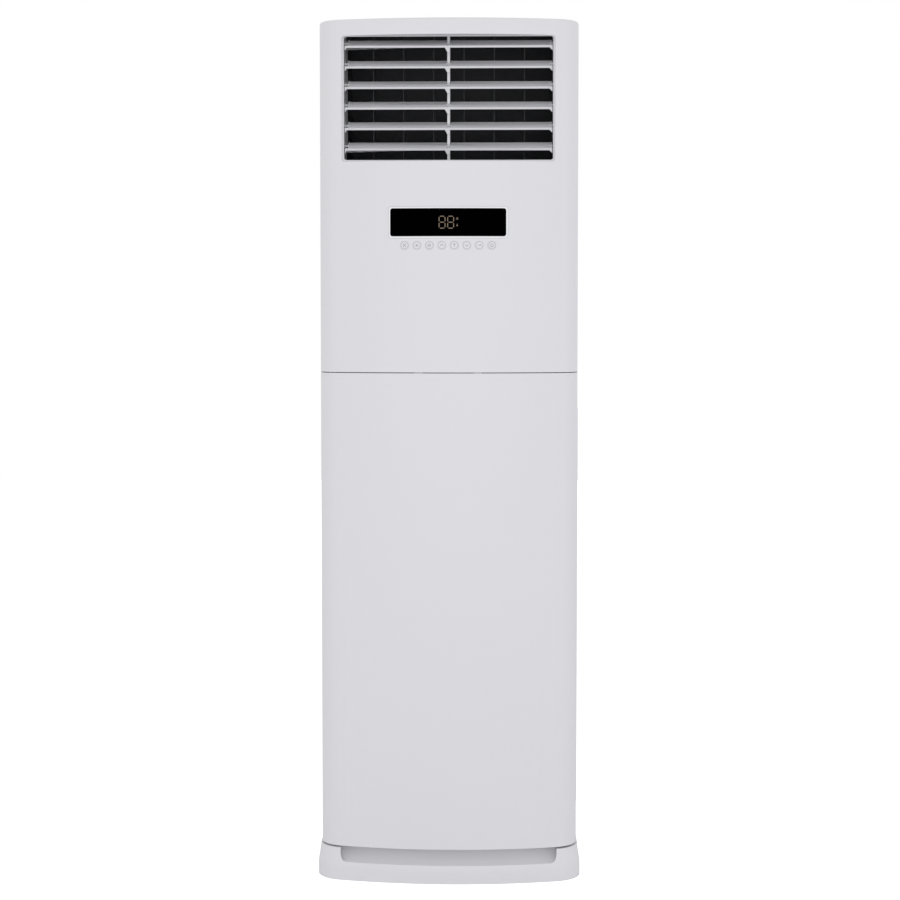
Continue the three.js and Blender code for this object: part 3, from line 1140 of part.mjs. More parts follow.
function drainPan() {
  const wall = TRAY_WALL / 2;
  const tray = cut(
    block(-TRAY_HALF, TRAY_HALF, TRAY_FRONT, TRAY_BACK, TRAY_LOW, TRAY_HIGH),
    block(-TRAY_HALF + wall, TRAY_HALF - wall, TRAY_FRONT + wall, TRAY_BACK - wall,
      TRAY_LOW + TRAY_WALL, TRAY_HIGH + OVERCUT));
  const chimney = block(OUTLET_LEFT - wall, OUTLET_RIGHT + wall,
    CASING_Y - wall, CASING_BACK + wall, TRAY_LOW, TRAY_HIGH);
  const sleeve = (x, radius) => rod(radius + SLEEVE_WALL,
    [x, PIPE_Y, TRAY_LOW], [x, PIPE_Y, TRAY_LOW + SLEEVE_HEIGHT], 10);
  const pipeHole = (x, radius) => bore(radius + SLEEVE_GAP,
    [x, PIPE_Y, TRAY_LOW - OVERCUT], [x, PIPE_Y, TRAY_HIGH], 10);
  const spigotEnd = TRAY_LOW - SPIGOT_LENGTH;
  const spigot = rod(SPIGOT_RADIUS, [HOSE_X, HOSE_Y, spigotEnd], [HOSE_X, HOSE_Y, TRAY_LOW + ROOT], 8);
  const sleeves = [sleeve(GAS_PIPE_X, GAS_PIPE_RADIUS), sleeve(LIQUID_PIPE_X, LIQUID_PIPE_RADIUS),
    spigot];
  const holes = [
    block(OUTLET_LEFT, OUTLET_RIGHT, CASING_Y + CASING_WALL, CASING_BACK - CASING_WALL,
      TRAY_LOW - OVERCUT, TRAY_HIGH + OVERCUT),
    pipeHole(GAS_PIPE_X, GAS_PIPE_RADIUS), pipeHole(LIQUID_PIPE_X, LIQUID_PIPE_RADIUS),
    rod(SPIGOT_RADIUS - SPIGOT_WALL, [HOSE_X, HOSE_Y, spigotEnd - OVERCUT],
      [HOSE_X, HOSE_Y, TRAY_HIGH], 8),
  ];
  return cut(join(tray, chimney, sleeves), holes);
}

function drainHose() {
  const high = TRAY_LOW - SEAT_GAP;
  const low = PAN_LOW + PAN_SHEET + HOSE_END_GAP;
  const line = (past) => HOSE_SWAY.map(([x, y], i) => {
    const share = i / (HOSE_SWAY.length - 1);
    return [HOSE_X + x, HOSE_Y + y, high + past - share * (high - low + 2 * past)];
  });
  return cut(tube(HOSE_RADIUS, line(0), 8, 8), tube(HOSE_BORE, line(OVERCUT), 8, 8));
}

const COIL_FRONT_GAP = 5; // from the tray's wall
const COIL_FOOT_GAP = 12.5; // from the tray's floor
const COIL_FRONT = TRAY_FRONT + TRAY_WALL / 2 + COIL_FRONT_GAP;
const COIL_LOW = TRAY_LOW + TRAY_WALL + COIL_FOOT_GAP;
const COIL_BACK = BACK - LINER_REAR_GAP - LINER_BACK - COIL_REAR_GAP;
const COIL_RISE = DUCT_LOW - COIL_HEADROOM - COIL_LOW;
const COIL_SLANT = Math.atan2(COIL_BACK - COIL_FRONT - COIL_THICKNESS, COIL_RISE);
const COIL_LENGTH = COIL_RISE / Math.cos(COIL_SLANT);
const COIL_HALF = LINER_INSIDE - COIL_END_GAP;
const BEND_REACH = 0.8; // the bends stand out this share of their radius
const BEND_MARGIN = 25; // from the coil's ends to the first and last bends

// A point of the coil's own frame in the cabinet's frame.
function onCoil(x, y, z) {
  return [
    x,
    COIL_FRONT + y * Math.cos(COIL_SLANT) + z * Math.sin(COIL_SLANT),
    COIL_LOW - y * Math.sin(COIL_SLANT) + z * Math.cos(COIL_SLANT),
  ];
}

function evaporator() {
  const core = block(-COIL_HALF, COIL_HALF, 0, COIL_THICKNESS, 0, COIL_LENGTH);
  const pitch = (COIL_LENGTH - 2 * BEND_MARGIN) / COIL_BENDS;
  const y = COIL_THICKNESS / 2;
  const root = COIL_HALF - PIN_ROOT;
  const bends = Array.from({ length: COIL_BENDS }, (_, i) => {
    const z = BEND_MARGIN + (i + 0.25) * pitch;
    const turns = [0, 60, 120, 180].map((degrees) => [
      COIL_HALF + BEND_REACH * BEND_RADIUS * Math.sin(radians(degrees)),
      y, z - BEND_RADIUS * Math.cos(radians(degrees))]);
    const bend = tube(COIL_TUBE_RADIUS,
      [[root, y, z - BEND_RADIUS], ...turns, [root, y, z + BEND_RADIUS]], 5, 5);
    return [bend, mirrorLeft(bend)];
  });
  return join(core, bends.flat()).rotate([-THREE.MathUtils.radToDeg(COIL_SLANT), 0, 0])
    .translate([0, COIL_FRONT, COIL_LOW]);
}

const PIPE_STUB = 6; // straight out of the coil's side
const PIPE_STRAIGHT = TRAY_HIGH + 110; // below this height the pipes run straight down
const NUT_LENGTH = 22;
const NUT_WALL = 5;
const GAS_TAP_DROP = 15; // from the coil's upper end
const GAS_BEND = 130; // height that the gas pipe's bend takes up
const LIQUID_BEND = 100;

// A pipe from the coil's right end down to its flare nut.
function pipe(radius, x, start, middle) {
  const out = [start[0] + PIPE_STUB, start[1], start[2]];
  const halfway = (PIPE_STRAIGHT + PIPE_END) / 2;
  const run = tube(radius, [start, out, ...middle, [x, PIPE_Y, PIPE_STRAIGHT],
    [x, PIPE_Y, halfway], [x, PIPE_Y, PIPE_END]], 8, 28);
  const high = PIPE_END + NUT_WALL;
  const nut = turned([
    point(0, high - NUT_LENGTH), point(radius + NUT_WALL, high - NUT_LENGTH),
    point(radius + NUT_WALL, high), point(0, high),
  ], 6, { x, y: PIPE_Y });
  return join(run, nut);
}

function gasPipe() {
  const start = onCoil(COIL_HALF + SEAT_GAP, COIL_THICKNESS / 2, COIL_LENGTH - GAS_TAP_DROP);
  const way = PIPE_Y - start[1];
  const place = (share, drop) => [GAS_PIPE_X, start[1] + way * share, start[2] - drop * GAS_BEND];
  return pipe(GAS_PIPE_RADIUS, GAS_PIPE_X, start, [place(0.5, 0.14), place(0.9, 0.46), place(1, 1)]);
}

function liquidPipe() {
  const start = onCoil(COIL_HALF + SEAT_GAP, COIL_THICKNESS / 2, LIQUID_TAP);
  const way = PIPE_Y - start[1];
  const place = (side, share, drop) => [LIQUID_PIPE_X + side * PIPE_SPACING,
    start[1] + way * share, start[2] - drop * LIQUID_BEND];
  return pipe(LIQUID_PIPE_RADIUS, LIQUID_PIPE_X, start,
    [place(1, 0.18, 0.1), place(0.87, 0.67, 0.3), place(0.17, 0.93, 0.65), place(0, 1, 1)]);
}

const BOX_HIGH = TRAY_LOW - BOX_DROP;
const BOX_LOW = BOX_HIGH - BOX_HEIGHT;
const BOX_BACK = PARTITION - SEAT_GAP;
const BOX_FRONT = BOX_BACK - BOX_DEPTH;
const BOX_PARTS_GAP = 20; // between the parts in the box, and to its walls
const TERMINALS_WIDTH = 90;
const TERMINALS_HEIGHT = 30;
const TERMINALS_DEPTH = 18;
const CIRCUIT_WIDTH = 150;
const CIRCUIT_DEPTH = 8;
const COVER_OVERLAP = 8;

function electricBox() {
  const half = BOX_WIDTH / 2;
  const shell = cut(
    block(-half, half, BOX_FRONT, BOX_BACK, BOX_LOW, BOX_HIGH),
    block(-half + PAN_SHEET, half - PAN_SHEET, BOX_FRONT - OVERCUT, BOX_BACK - PAN_SHEET,
      BOX_LOW + PAN_SHEET, BOX_HIGH - PAN_SHEET));
  const left = -half + BOX_PARTS_GAP;
  const low = BOX_LOW + BOX_PARTS_GAP;
  const right = half - BOX_PARTS_GAP;
  const terminals = block(left, left + TERMINALS_WIDTH, BOX_BACK - TERMINALS_DEPTH, BOX_BACK - ROOT,
    low, low + TERMINALS_HEIGHT);
  const board = block(right - CIRCUIT_WIDTH, right, BOX_BACK - CIRCUIT_DEPTH, BOX_BACK - ROOT,
    low, BOX_HIGH - BOX_PARTS_GAP);
  return join(shell, terminals, board);
}

function electricBoxCover() {
  const half = BOX_WIDTH / 2 + SEAT_GAP + PAN_SHEET;
  const front = BOX_FRONT - SEAT_GAP - PAN_SHEET;
  return cut(
    block(-half, half, front, BOX_FRONT + COVER_OVERLAP,
      BOX_LOW - SEAT_GAP - PAN_SHEET, BOX_HIGH + SEAT_GAP + PAN_SHEET),
    block(-half + PAN_SHEET, half - PAN_SHEET, BOX_FRONT - SEAT_GAP,
      BOX_FRONT + COVER_OVERLAP + OVERCUT, BOX_LOW - SEAT_GAP, BOX_HIGH + SEAT_GAP));
}

const PLATE_LOW = BOX_LOW - COVER_OVERLAP;

function ductFrontPlate() {
  const half = TRAY_HALF + SEAT_GAP + SHEET;
  const back = SIDE_FRONT - SEAT_GAP;
  return raise([
    point(-half, PARTITION), point(half, PARTITION), point(half, back),
    point(half - SHEET, back), point(half - SHEET, PARTITION + SHEET),
    point(SHEET - half, PARTITION + SHEET), point(SHEET - half, back), point(-half, back),
  ], PLATE_LOW, DUCT_LOW - INSERT_WALL - SEAT_GAP);
}

function ductLiner() {
  const rear = BACK - LINER_REAR_GAP;
  const inner = rear - LINER_BACK;
  const top = SHEET_TOP;
  const channel = raise([
    point(-TRAY_HALF, TRAY_FRONT), point(-LINER_INSIDE, TRAY_FRONT),
    point(-LINER_INSIDE, inner), point(LINER_INSIDE, inner),
    point(LINER_INSIDE, TRAY_FRONT), point(TRAY_HALF, TRAY_FRONT),
    point(TRAY_HALF, rear), point(-TRAY_HALF, rear),
  ], TRAY_HIGH + SEAT_GAP, top);
  const ceiling = DUCT_HIGH + INSERT_WALL + SEAT_GAP;
  const guide = along([
    point(TRAY_FRONT, ceiling),
    ...arc(inner - GUIDE_RADIUS, ceiling - GUIDE_RADIUS, GUIDE_RADIUS,
      Math.PI / 2, 0, 8),
    point(inner + ROOT, ceiling - GUIDE_RADIUS), point(inner + ROOT, top), point(TRAY_FRONT, top),
  ], -LINER_INSIDE - ROOT, LINER_INSIDE + ROOT);
  return join(channel, guide);
}

/* ------------------------------ the assembly ------------------------------ */

const MATERIALS = {
  cabinet: { color: 0xdcdbd7, roughness: 0.42, metalness: 0 },
  sheet: { color: 0xd6d5d1, roughness: 0.45, metalness: 0.1 },
  louver: { color: 0xdddcd8, roughness: 0.45, metalness: 0 },
  window: { color: 0x0c0c0e, roughness: 0.12, metalness: 0 },
  board: { color: 0x2c5a38, roughness: 0.6, metalness: 0 },
  rubber: { color: 0x2a2a2a, roughness: 0.85, metalness: 0 },
  net: { color: 0x7f8588, roughness: 0.8, metalness: 0 },
  steel: { color: 0xb2b5b7, roughness: 0.4, metalness: 0.9 },
  casing: { color: 0x3f4244, roughness: 0.6, metalness: 0 },
  fins: { color: 0xc4c7c9, roughness: 0.45, metalness: 0.9 },
  copper: { color: 0xb87346, roughness: 0.35, metalness: 1 },
  foam: { color: 0xe9e9e6, roughness: 0.9, metalness: 0 },
  hose: { color: 0xc9c8c4, roughness: 0.7, metalness: 0 },
  drive: { color: 0x55585a, roughness: 0.5, metalness: 0.3 },
};

const FACET_TOLERANCE = 0.02;

function geometryOf(body) {
  const { vertProperties, triVerts } = body.asOriginal().simplify(FACET_TOLERANCE).getMesh();
  const geometry = new THREE.BufferGeometry();
  geometry.setAttribute("position", new THREE.BufferAttribute(vertProperties, 3));
  geometry.setIndex(new THREE.BufferAttribute(triVerts, 1));
  geometry.computeVertexNormals();
  return geometry;
}

const group = new THREE.Group();

function add(name, slot, body) {
  const material = new THREE.MeshStandardMaterial({ ...MATERIALS[slot], flatShading: true });
  const mesh = new THREE.Mesh(geometryOf(body), material);
  mesh.name = name;
  group.add(mesh);
}

function addPair(right, left, slot, body) {
  add(right, slot, body);
  add(left, slot, mirrorLeft(body));
}

add("base_plinth", "cabinet", basePlinth());
add("base_pan", "steel", basePan());
addPair("foot_front_right", "foot_front_left", "rubber", foot(FOOT_X, FOOT_FRONT));
addPair("foot_rear_right", "foot_rear_left", "rubber", foot(FOOT_X, FOOT_REAR));
addPair("right_side_panel", "left_side_panel", "sheet", rightSidePanel());
add("back_panel", "sheet", backPanel());
add("wall_bracket", "steel", wallBracket());
add("pipe_grommet", "rubber", pipeGrommet());
add("top_cover", "cabinet", topCover());
add("upper_front_panel", "cabinet", upperFrontPanel());
add("lower_front_panel", "cabinet", lowerFrontPanel());
addPair("right_inlet_grille", "left_inlet_grille", "cabinet", rightInletGrille());
addPair("right_air_filter", "left_air_filter", "net", rightAirFilter());
add("outlet_frame", "louver", outletFrame());
for (let i = 0; i < LOUVER_COUNT; i += 1) add(`louver_${i + 1}`, "louver", louver(i));
add("louver_link", "louver", louverLink());
for (let i = 0; i < VANE_COUNT; i += 1) add(`vane_${i + 1}`, "casing", vane(i));
add("vane_link", "casing", vaneLink());
add("swing_crank", "casing", swingCrank());
add("swing_motor", "steel", swingMotor());
add("display_window", "window", displayWindow());
add("display_board", "board", displayBoard());
for (let i = 0; i < KEY_COUNT; i += 1) add(`key_${i + 1}`, "cabinet", key(i));
add("scroll_casing", "casing", scrollCasing());
add("inlet_ring", "casing", inletRing());
add("fan_wheel", "drive", fanWheel());
add("fan_motor", "steel", fanMotor());
add("motor_bracket", "steel", motorBracket());
add("evaporator", "fins", evaporator());
add("drain_pan", "foam", drainPan());
add("drain_hose", "hose", drainHose());
add("gas_pipe", "copper", gasPipe());
add("liquid_pipe", "copper", liquidPipe());
add("electric_box", "steel", electricBox());
add("electric_box_cover", "steel", electricBoxCover());
add("duct_liner", "foam", ductLiner());
add("duct_front_plate", "steel", ductFrontPlate());

export default group;
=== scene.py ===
import json
import math

import bmesh
import bpy
from mathutils import Matrix, Vector


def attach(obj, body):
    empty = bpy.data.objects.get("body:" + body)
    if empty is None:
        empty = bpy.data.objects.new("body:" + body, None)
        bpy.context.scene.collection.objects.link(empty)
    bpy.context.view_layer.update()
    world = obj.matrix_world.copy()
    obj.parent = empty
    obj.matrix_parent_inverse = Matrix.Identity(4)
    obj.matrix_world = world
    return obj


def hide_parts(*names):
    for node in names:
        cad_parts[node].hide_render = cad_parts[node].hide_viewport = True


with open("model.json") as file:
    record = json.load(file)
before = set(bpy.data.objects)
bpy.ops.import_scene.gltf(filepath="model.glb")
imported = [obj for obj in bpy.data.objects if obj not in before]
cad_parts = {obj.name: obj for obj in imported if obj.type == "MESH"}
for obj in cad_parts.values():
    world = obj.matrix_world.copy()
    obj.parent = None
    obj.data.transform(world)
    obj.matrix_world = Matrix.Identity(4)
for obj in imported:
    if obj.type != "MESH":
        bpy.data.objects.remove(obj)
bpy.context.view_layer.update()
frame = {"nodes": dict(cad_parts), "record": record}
scene = bpy.context.scene

# ------------------------------------------------------------------ camera
# The photograph is taken from about four metres away, a little above the
# middle of the cabinet and a touch to its right, looking slightly down.
CAMERA_SIDE = 0.10
CAMERA_AWAY = 4.06
CAMERA_HEIGHT = 1.19
CAMERA_DOWN = 3.1
camera_data = bpy.data.cameras.new("camera")
camera_data.lens = 76.8
camera_data.sensor_width = 36.0
camera_data.shift_y = -0.045
camera = bpy.data.objects.new("camera", camera_data)
bpy.context.collection.objects.link(camera)
camera.location = (CAMERA_SIDE, -CAMERA_AWAY, CAMERA_HEIGHT)
camera.rotation_euler = (
    math.radians(90 - CAMERA_DOWN), 0.0, math.atan2(CAMERA_SIDE, CAMERA_AWAY))
scene.camera = camera
scene.view_settings.view_transform = "Standard"

# ------------------------------------------------------------------ studio
# A pale floor that runs into a white surround, one large soft lamp in front
# and one at each side. The camera sees the surround white, and the cabinet is
# lit by a dimmer and slightly blue one.
WHITE = (1, 1, 1, 1)
SURROUND_COLOUR = (0.985, 0.985, 1.0, 1)
SURROUND_LIGHT = 0.87
FLOOR_COLOUR = (0.84, 0.84, 0.85, 1)
FLOOR_GLOW = 0.6
FLOOR_HALF = 9.0
SIDE_LAMP = (1.8, 2.6)


def set_inputs(tree, node, inputs):
    """Gives each input its value, or links it where the value is an output."""
    for key, value in inputs.items():
        if isinstance(value, bpy.types.NodeSocket):
            tree.links.new(value, node.inputs[key])
        else:
            node.inputs[key].default_value = value


def add_node(tree, kind, inputs, out=0, **settings):
    """Adds a shader node with its settings and inputs, and returns an output."""
    node = tree.nodes.new("ShaderNode" + kind)
    for name, value in settings.items():
        setattr(node, name, value)
    set_inputs(tree, node, inputs)
    return node.outputs[out]


def soft_lamp(name, spot, aim, size, power):
    lamp = bpy.data.lights.new(name, "AREA")
    lamp.shape = "RECTANGLE"
    lamp.size, lamp.size_y = size
    lamp.energy = power
    holder = bpy.data.objects.new(name, lamp)
    holder.location = spot
    holder.rotation_euler = (
        Vector(aim) - Vector(spot)).to_track_quat("-Z", "Y").to_euler()
    bpy.context.collection.objects.link(holder)


world = bpy.data.worlds.new("studio")
scene.world = world
world.use_nodes = True
tree = world.node_tree
tree.nodes.clear()
ray = tree.nodes.new("ShaderNodeLightPath").outputs
direct = add_node(tree, "Math", {
    0: ray["Is Camera Ray"], 1: ray["Is Transmission Ray"]}, operation="MAXIMUM")
lit = add_node(tree, "Background", {
    "Color": SURROUND_COLOUR, "Strength": SURROUND_LIGHT})
seen = add_node(tree, "Background", {"Color": WHITE, "Strength": 1.0})
surround = add_node(tree, "MixShader", {"Fac": direct, 1: lit, 2: seen})
set_inputs(tree, tree.nodes.new("ShaderNodeOutputWorld"), {"Surface": surround})

floor_mesh = bpy.data.meshes.new("floor")
bm = bmesh.new()
bmesh.ops.create_grid(bm, x_segments=1, y_segments=1, size=FLOOR_HALF)
bm.to_mesh(floor_mesh)
bm.free()
floor = bpy.data.objects.new("floor", floor_mesh)
bpy.context.collection.objects.link(floor)
floor_finish = bpy.data.materials.new("floor_white")
floor_finish.use_nodes = True
tree = floor_finish.node_tree
tree.nodes.clear()
ray = tree.nodes.new("ShaderNodeLightPath").outputs
glow = add_node(tree, "Emission", {
    "Color": WHITE,
    "Strength": add_node(
        tree, "Math", {0: ray["Is Camera Ray"], 1: FLOOR_GLOW}, operation="MULTIPLY")})
diffuse = add_node(tree, "BsdfDiffuse", {"Color": FLOOR_COLOUR})
both = add_node(tree, "AddShader", {0: diffuse, 1: glow})
set_inputs(tree, tree.nodes.new("ShaderNodeOutputMaterial"), {"Surface": both})
floor_mesh.materials.append(floor_finish)

soft_lamp("lamp_front", (0.0, -4.6, 1.5), (0, 0, 0.85), (3.4, 2.6), 25)
soft_lamp("lamp_left", (-3.4, -2.4, 1.2), (0, 0, 0.8), SIDE_LAMP, 5)
soft_lamp("lamp_right", (3.4, -2.4, 1.2), (0, 0, 0.8), SIDE_LAMP, 8)

# ------------------------------------------------------------------ plinth
# The moulded foot of the cabinet: it flares out towards the floor, and a
# shallow hollow with a cove behind it runs across its front under the lower
# panel. One injection moulding in off-white plastic.
HALF_WIDTH = 0.266
BACK = 0.168
FRONT = -0.160
BOW_RADIUS = 0.950
CORNER_RADIUS = 0.054
BOW_CENTRE = FRONT + BOW_RADIUS
CORNER_X = HALF_WIDTH - CORNER_RADIUS
CORNER_REACH = BOW_RADIUS - CORNER_RADIUS
CORNER_Y = BOW_CENTRE - math.sqrt(CORNER_REACH ** 2 - CORNER_X ** 2)
BOW_TURN = math.asin(CORNER_X / CORNER_REACH)
BOW_STEPS = 56
CORNER_STEPS = 14
WALL = 0.003
PLINTH_TOP = 0.0665
SKIRT_TOP = 0.024
SKIRT_FLARE = 0.008
TOP_FLARE = 0.0024
FLARE_CURVE = ((0, 1), (0.13, 0.93), (0.26, 0.8), (0.5, 0.5), (0.74, 0.25), (0.9, 0.08),
               (1, 0))
SCOOP_LIP = 0.038
SCOOP_HALF = 0.224
SCOOP_START = 0.007
SCOOP_DEPTH = 0.032
SCOOP_TAPER = 0.012
SCOOP_STEPS = 12
SCOOP_ARC_STEPS = 48
SCOOP_FRONT = -0.4
THROAT_INSET = 0.016
THROAT_SPAN = (0.05, 0.08)
UP = (0, 0, 1)


def line_to(bm, vert, y):
    """Draws an edge along Y from the vertex, and returns its far end."""
    end = bmesh.ops.extrude_vert_indiv(bm, verts=[vert])["verts"][0]
    end.co.y = y
    return end


def arc_from(bm, vert, centre, turn, steps):
    """Spins the vertex round an upright axis into a line, and returns its far end."""
    made = bmesh.ops.spin(
        bm, geom=[vert], cent=centre, axis=UP, angle=turn, steps=steps)
    return [v for v in made["geom_last"] if isinstance(v, bmesh.types.BMVert)][0]


def body_loop(bm, inset, back, z):
    """The cabinet's plan outline as one ring of edges: bowed front, round corners."""
    start = bm.verts.new((-HALF_WIDTH + inset, back, z))
    before = set(bm.edges)
    last = line_to(bm, start, CORNER_Y)
    corner = math.pi / 2 - BOW_TURN
    for centre, turn, steps in (
            ((-CORNER_X, CORNER_Y, z), corner, CORNER_STEPS),
            ((0, BOW_CENTRE, z), 2 * BOW_TURN, BOW_STEPS),
            ((CORNER_X, CORNER_Y, z), corner, CORNER_STEPS)):
        last = arc_from(bm, last, centre, turn, steps)
    bm.edges.new((line_to(bm, last, back), start))
    return [e for e in bm.edges if e not in before]


def skin_over(bm, loops):
    """Joins ring to ring with faces, and closes the first and the last."""
    for lower, upper in zip(loops, loops[1:]):
        bmesh.ops.bridge_loops(bm, edges=lower + upper)
    for end in (loops[0], loops[-1]):
        bmesh.ops.edgenet_fill(bm, edges=end)
    bmesh.ops.recalc_face_normals(bm, faces=bm.faces[:])
    return bm


def body_block(rings):
    """A closed block over plan outlines of (inset, back, z), from the lowest up."""
    bm = bmesh.new()
    return skin_over(bm, [body_loop(bm, *ring) for ring in rings])


def place(bm, name):
    """Makes the mesh an object at the origin."""
    mesh = bpy.data.meshes.new(name)
    bm.to_mesh(mesh)
    bm.free()
    piece = bpy.data.objects.new(name, mesh)
    bpy.context.collection.objects.link(piece)
    return piece


def settle(piece):
    """Applies what modifiers the piece has."""
    bpy.context.view_layer.update()
    graph = bpy.context.evaluated_depsgraph_get()
    mesh = bpy.data.meshes.new_from_object(piece.evaluated_get(graph))
    piece.modifiers.clear()
    old, piece.data = piece.data, mesh
    mesh.name = piece.name
    bpy.data.meshes.remove(old)


def carve(piece, tool, operation="DIFFERENCE"):
    """Cuts, joins or crosses the piece with the tool, which is used up."""
    step = piece.modifiers.new("carve", "BOOLEAN")
    step.operation = operation
    step.solver = "EXACT"
    step.object = tool
    settle(piece)
    mesh = tool.data
    bpy.data.objects.remove(tool)
    bpy.data.meshes.remove(mesh)


def smooth(piece, degrees=28):
    """Shades the piece smooth, with every edge above the angle left sharp."""
    piece.data.shade_smooth()
    piece.data.set_sharp_from_angle(angle=math.radians(degrees))


def ease_edges(piece, width, degrees=40):
    """Rounds every edge above the angle by the width."""
    step = piece.modifiers.new("ease", "BEVEL")
    step.width = width
    step.segments = 2
    step.limit_method = "ANGLE"
    step.angle_limit = math.radians(degrees)
    step.use_clamp_overlap = True
    settle(piece)


def finish_as(piece, material):
    piece.data.materials.clear()
    piece.data.materials.append(material)


def new_finish(name):
    """A material, its tree and shader, and the output of the piece's coordinates."""
    finish = bpy.data.materials.new(name)
    finish.use_nodes = True
    tree = finish.node_tree
    where = add_node(tree, "TexCoord", {}, "Object")
    return finish, tree, tree.nodes["Principled BSDF"], where


def between(tree, share, low, high):
    """A number that runs from low to high with the share."""
    return add_node(tree, "MapRange", {"Value": share, "To Min": low, "To Max": high})


def two_tone(tree, share, shade, light):
    """A colour that runs from shade to light with the share."""
    return add_node(tree, "MixRGB", {
        "Fac": share, "Color1": (*shade, 1), "Color2": (*light, 1)})


def relief(tree, height, depth, strength=1.0):
    """Bumps of the surface by the height, at most as high as the depth."""
    return add_node(tree, "Bump", {
        "Height": height, "Distance": depth, "Strength": strength})


def moulded(name, colour, roughness, grain=900.0, depth=0.00002):
    """Moulded plastic or paint: even colour, fine grain, a faint drift of gloss."""
    finish, tree, shader, where = new_finish(name)
    drift = add_node(
        tree, "TexNoise", {"Vector": where, "Scale": 5.0, "Detail": 2.0}, "Fac")
    pores = add_node(
        tree, "TexNoise", {"Vector": where, "Scale": grain, "Detail": 1.0}, "Fac")
    set_inputs(tree, shader, {
        "Base Color": two_tone(tree, drift, [c * 0.985 for c in colour], colour),
        "Roughness": between(tree, drift, roughness - 0.03, roughness + 0.03),
        "Normal": relief(tree, pores, depth, 0.35)})
    return finish


def plinth_block(wall, low, top):
    """The plinth's outer form, or the form inside its wall."""
    rings = [(wall - SKIRT_FLARE, BACK - wall, low)]
    for level, share in FLARE_CURVE:
        flare = TOP_FLARE + (SKIRT_FLARE - TOP_FLARE) * share
        rings.append((wall - flare, BACK - wall, SKIRT_TOP + (top - SKIRT_TOP) * level))
    return body_block(rings)


def scoop_block(grow, low):
    """The hollow with its cove: arcs round the bow's centre, from the lip up."""
    bm = bmesh.new()
    loops = []
    for i in range(SCOOP_STEPS + 1):
        rise = i / SCOOP_STEPS
        curve = math.sqrt(1 - (1 - rise) ** 2) ** 1.5
        radius = BOW_RADIUS + SCOOP_START - SCOOP_DEPTH * curve - grow
        taper = SCOOP_TAPER * (1 - math.sqrt(1 - (1 - rise) ** 4))
        turn = math.asin((SCOOP_HALF + grow - taper) / radius)
        z = low + (PLINTH_TOP + 0.001 - low) * rise
        first = bm.verts.new((
            -radius * math.sin(turn), BOW_CENTRE - radius * math.cos(turn), z))
        before = set(bm.edges)
        last = arc_from(bm, first, (0, BOW_CENTRE, z), 2 * turn, SCOOP_ARC_STEPS)
        bm.edges.new([line_to(bm, v, SCOOP_FRONT) for v in (first, last)])
        loops.append([e for e in bm.edges if e not in before])
    return skin_over(bm, loops)


white_plastic = moulded("cabinet_white", (0.725, 0.723, 0.742), 0.36)
plinth = place(plinth_block(0.0, 0.0, PLINTH_TOP), "plinth_moulding")
cavity = place(plinth_block(WALL, -0.002, PLINTH_TOP - WALL), "plinth_cavity")
carve(cavity, place(scoop_block(WALL, SCOOP_LIP - WALL), "scoop_backing"))
carve(plinth, cavity)
carve(plinth, place(scoop_block(0.0, SCOOP_LIP), "scoop"))
throat = place(body_block([
    (THROAT_INSET, BACK - THROAT_INSET, z) for z in THROAT_SPAN]), "throat")
carve(throat, place(scoop_block(WALL, SCOOP_LIP - WALL), "throat_backing"))
carve(plinth, throat)
ease_edges(plinth, 0.0008)
smooth(plinth)
finish_as(plinth, white_plastic)
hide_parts("base_plinth")
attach(plinth, "cabinet")

# ------------------------------------------------------------------ upper front panel
# The bowed moulding that carries the outlet, the display and the keys. Its
# sides wrap back to the sheet panels and its top turns over with a rounded
# edge. Glossy off-white plastic, three millimetres thick.
WRAP_BACK = FRONT + 0.084
TOP = 1.770
TOP_ROUND = 0.006
TOP_ROUND_STEPS = 8
SEAM = 1.053
SEAM_GAP = 0.0017
UPPER_FOOT = SEAM + SEAM_GAP / 2
LIP_DEPTH = 0.0125
RIB_DEPTH = 0.009
SIDE_LIPS = ((-0.265, -0.2535), (0.2535, 0.265))
OPENING = (-0.217, 0.217, 1.482, 1.7365)  # left, right, low, high
OPENING_CORNER = 0.007
COLLAR = 0.0025
INSERT_FRONT = FRONT + 0.0295
WINDOW_MIDDLE = 1.3585
WINDOW_SIZE = (0.243, 0.064)
WINDOW_CORNER = 0.006
WINDOW_PLAY = 0.0003
KEY_COUNT = 8
KEY_Z = 1.312
KEY_PITCH = 0.0253
KEY_RADIUS = 0.0082
KEY_PLAY = 0.00035
HOOK_X = 0.060
HOOK_HALF = 0.008
HOOK_THICK = 0.003
HOOK_REACH = 0.005
HOOK_PLAY = 0.001
HINGE_Y = -0.152
SLOT_TOP = SEAM + 0.006
# how far a cutting form runs past what it cuts, and where one starts in front
PAST = 0.01
OUTSIDE = FRONT - 0.05


def wrap_block(low, high, inset, edge=0.0):
    """The front moulding as a closed block, with a rounded edge at the top."""
    rings = [(inset, WRAP_BACK, low)]
    if edge:
        for i in range(TOP_ROUND_STEPS + 1):
            angle = math.pi / 2 * i / TOP_ROUND_STEPS
            rings.append((inset + edge * (1 - math.cos(angle)), WRAP_BACK,
                          high - edge + edge * math.sin(angle)))
    else:
        rings.append((inset, WRAP_BACK, high))
    return body_block(rings)


def cuboid(left, right, low, high, front, back):
    bm = bmesh.new()
    bmesh.ops.create_cube(bm, size=1.0)
    bmesh.ops.scale(bm, vec=(right - left, back - front, high - low), verts=bm.verts)
    bmesh.ops.translate(bm, vec=(
        (left + right) / 2, (front + back) / 2, (low + high) / 2), verts=bm.verts)
    return bm


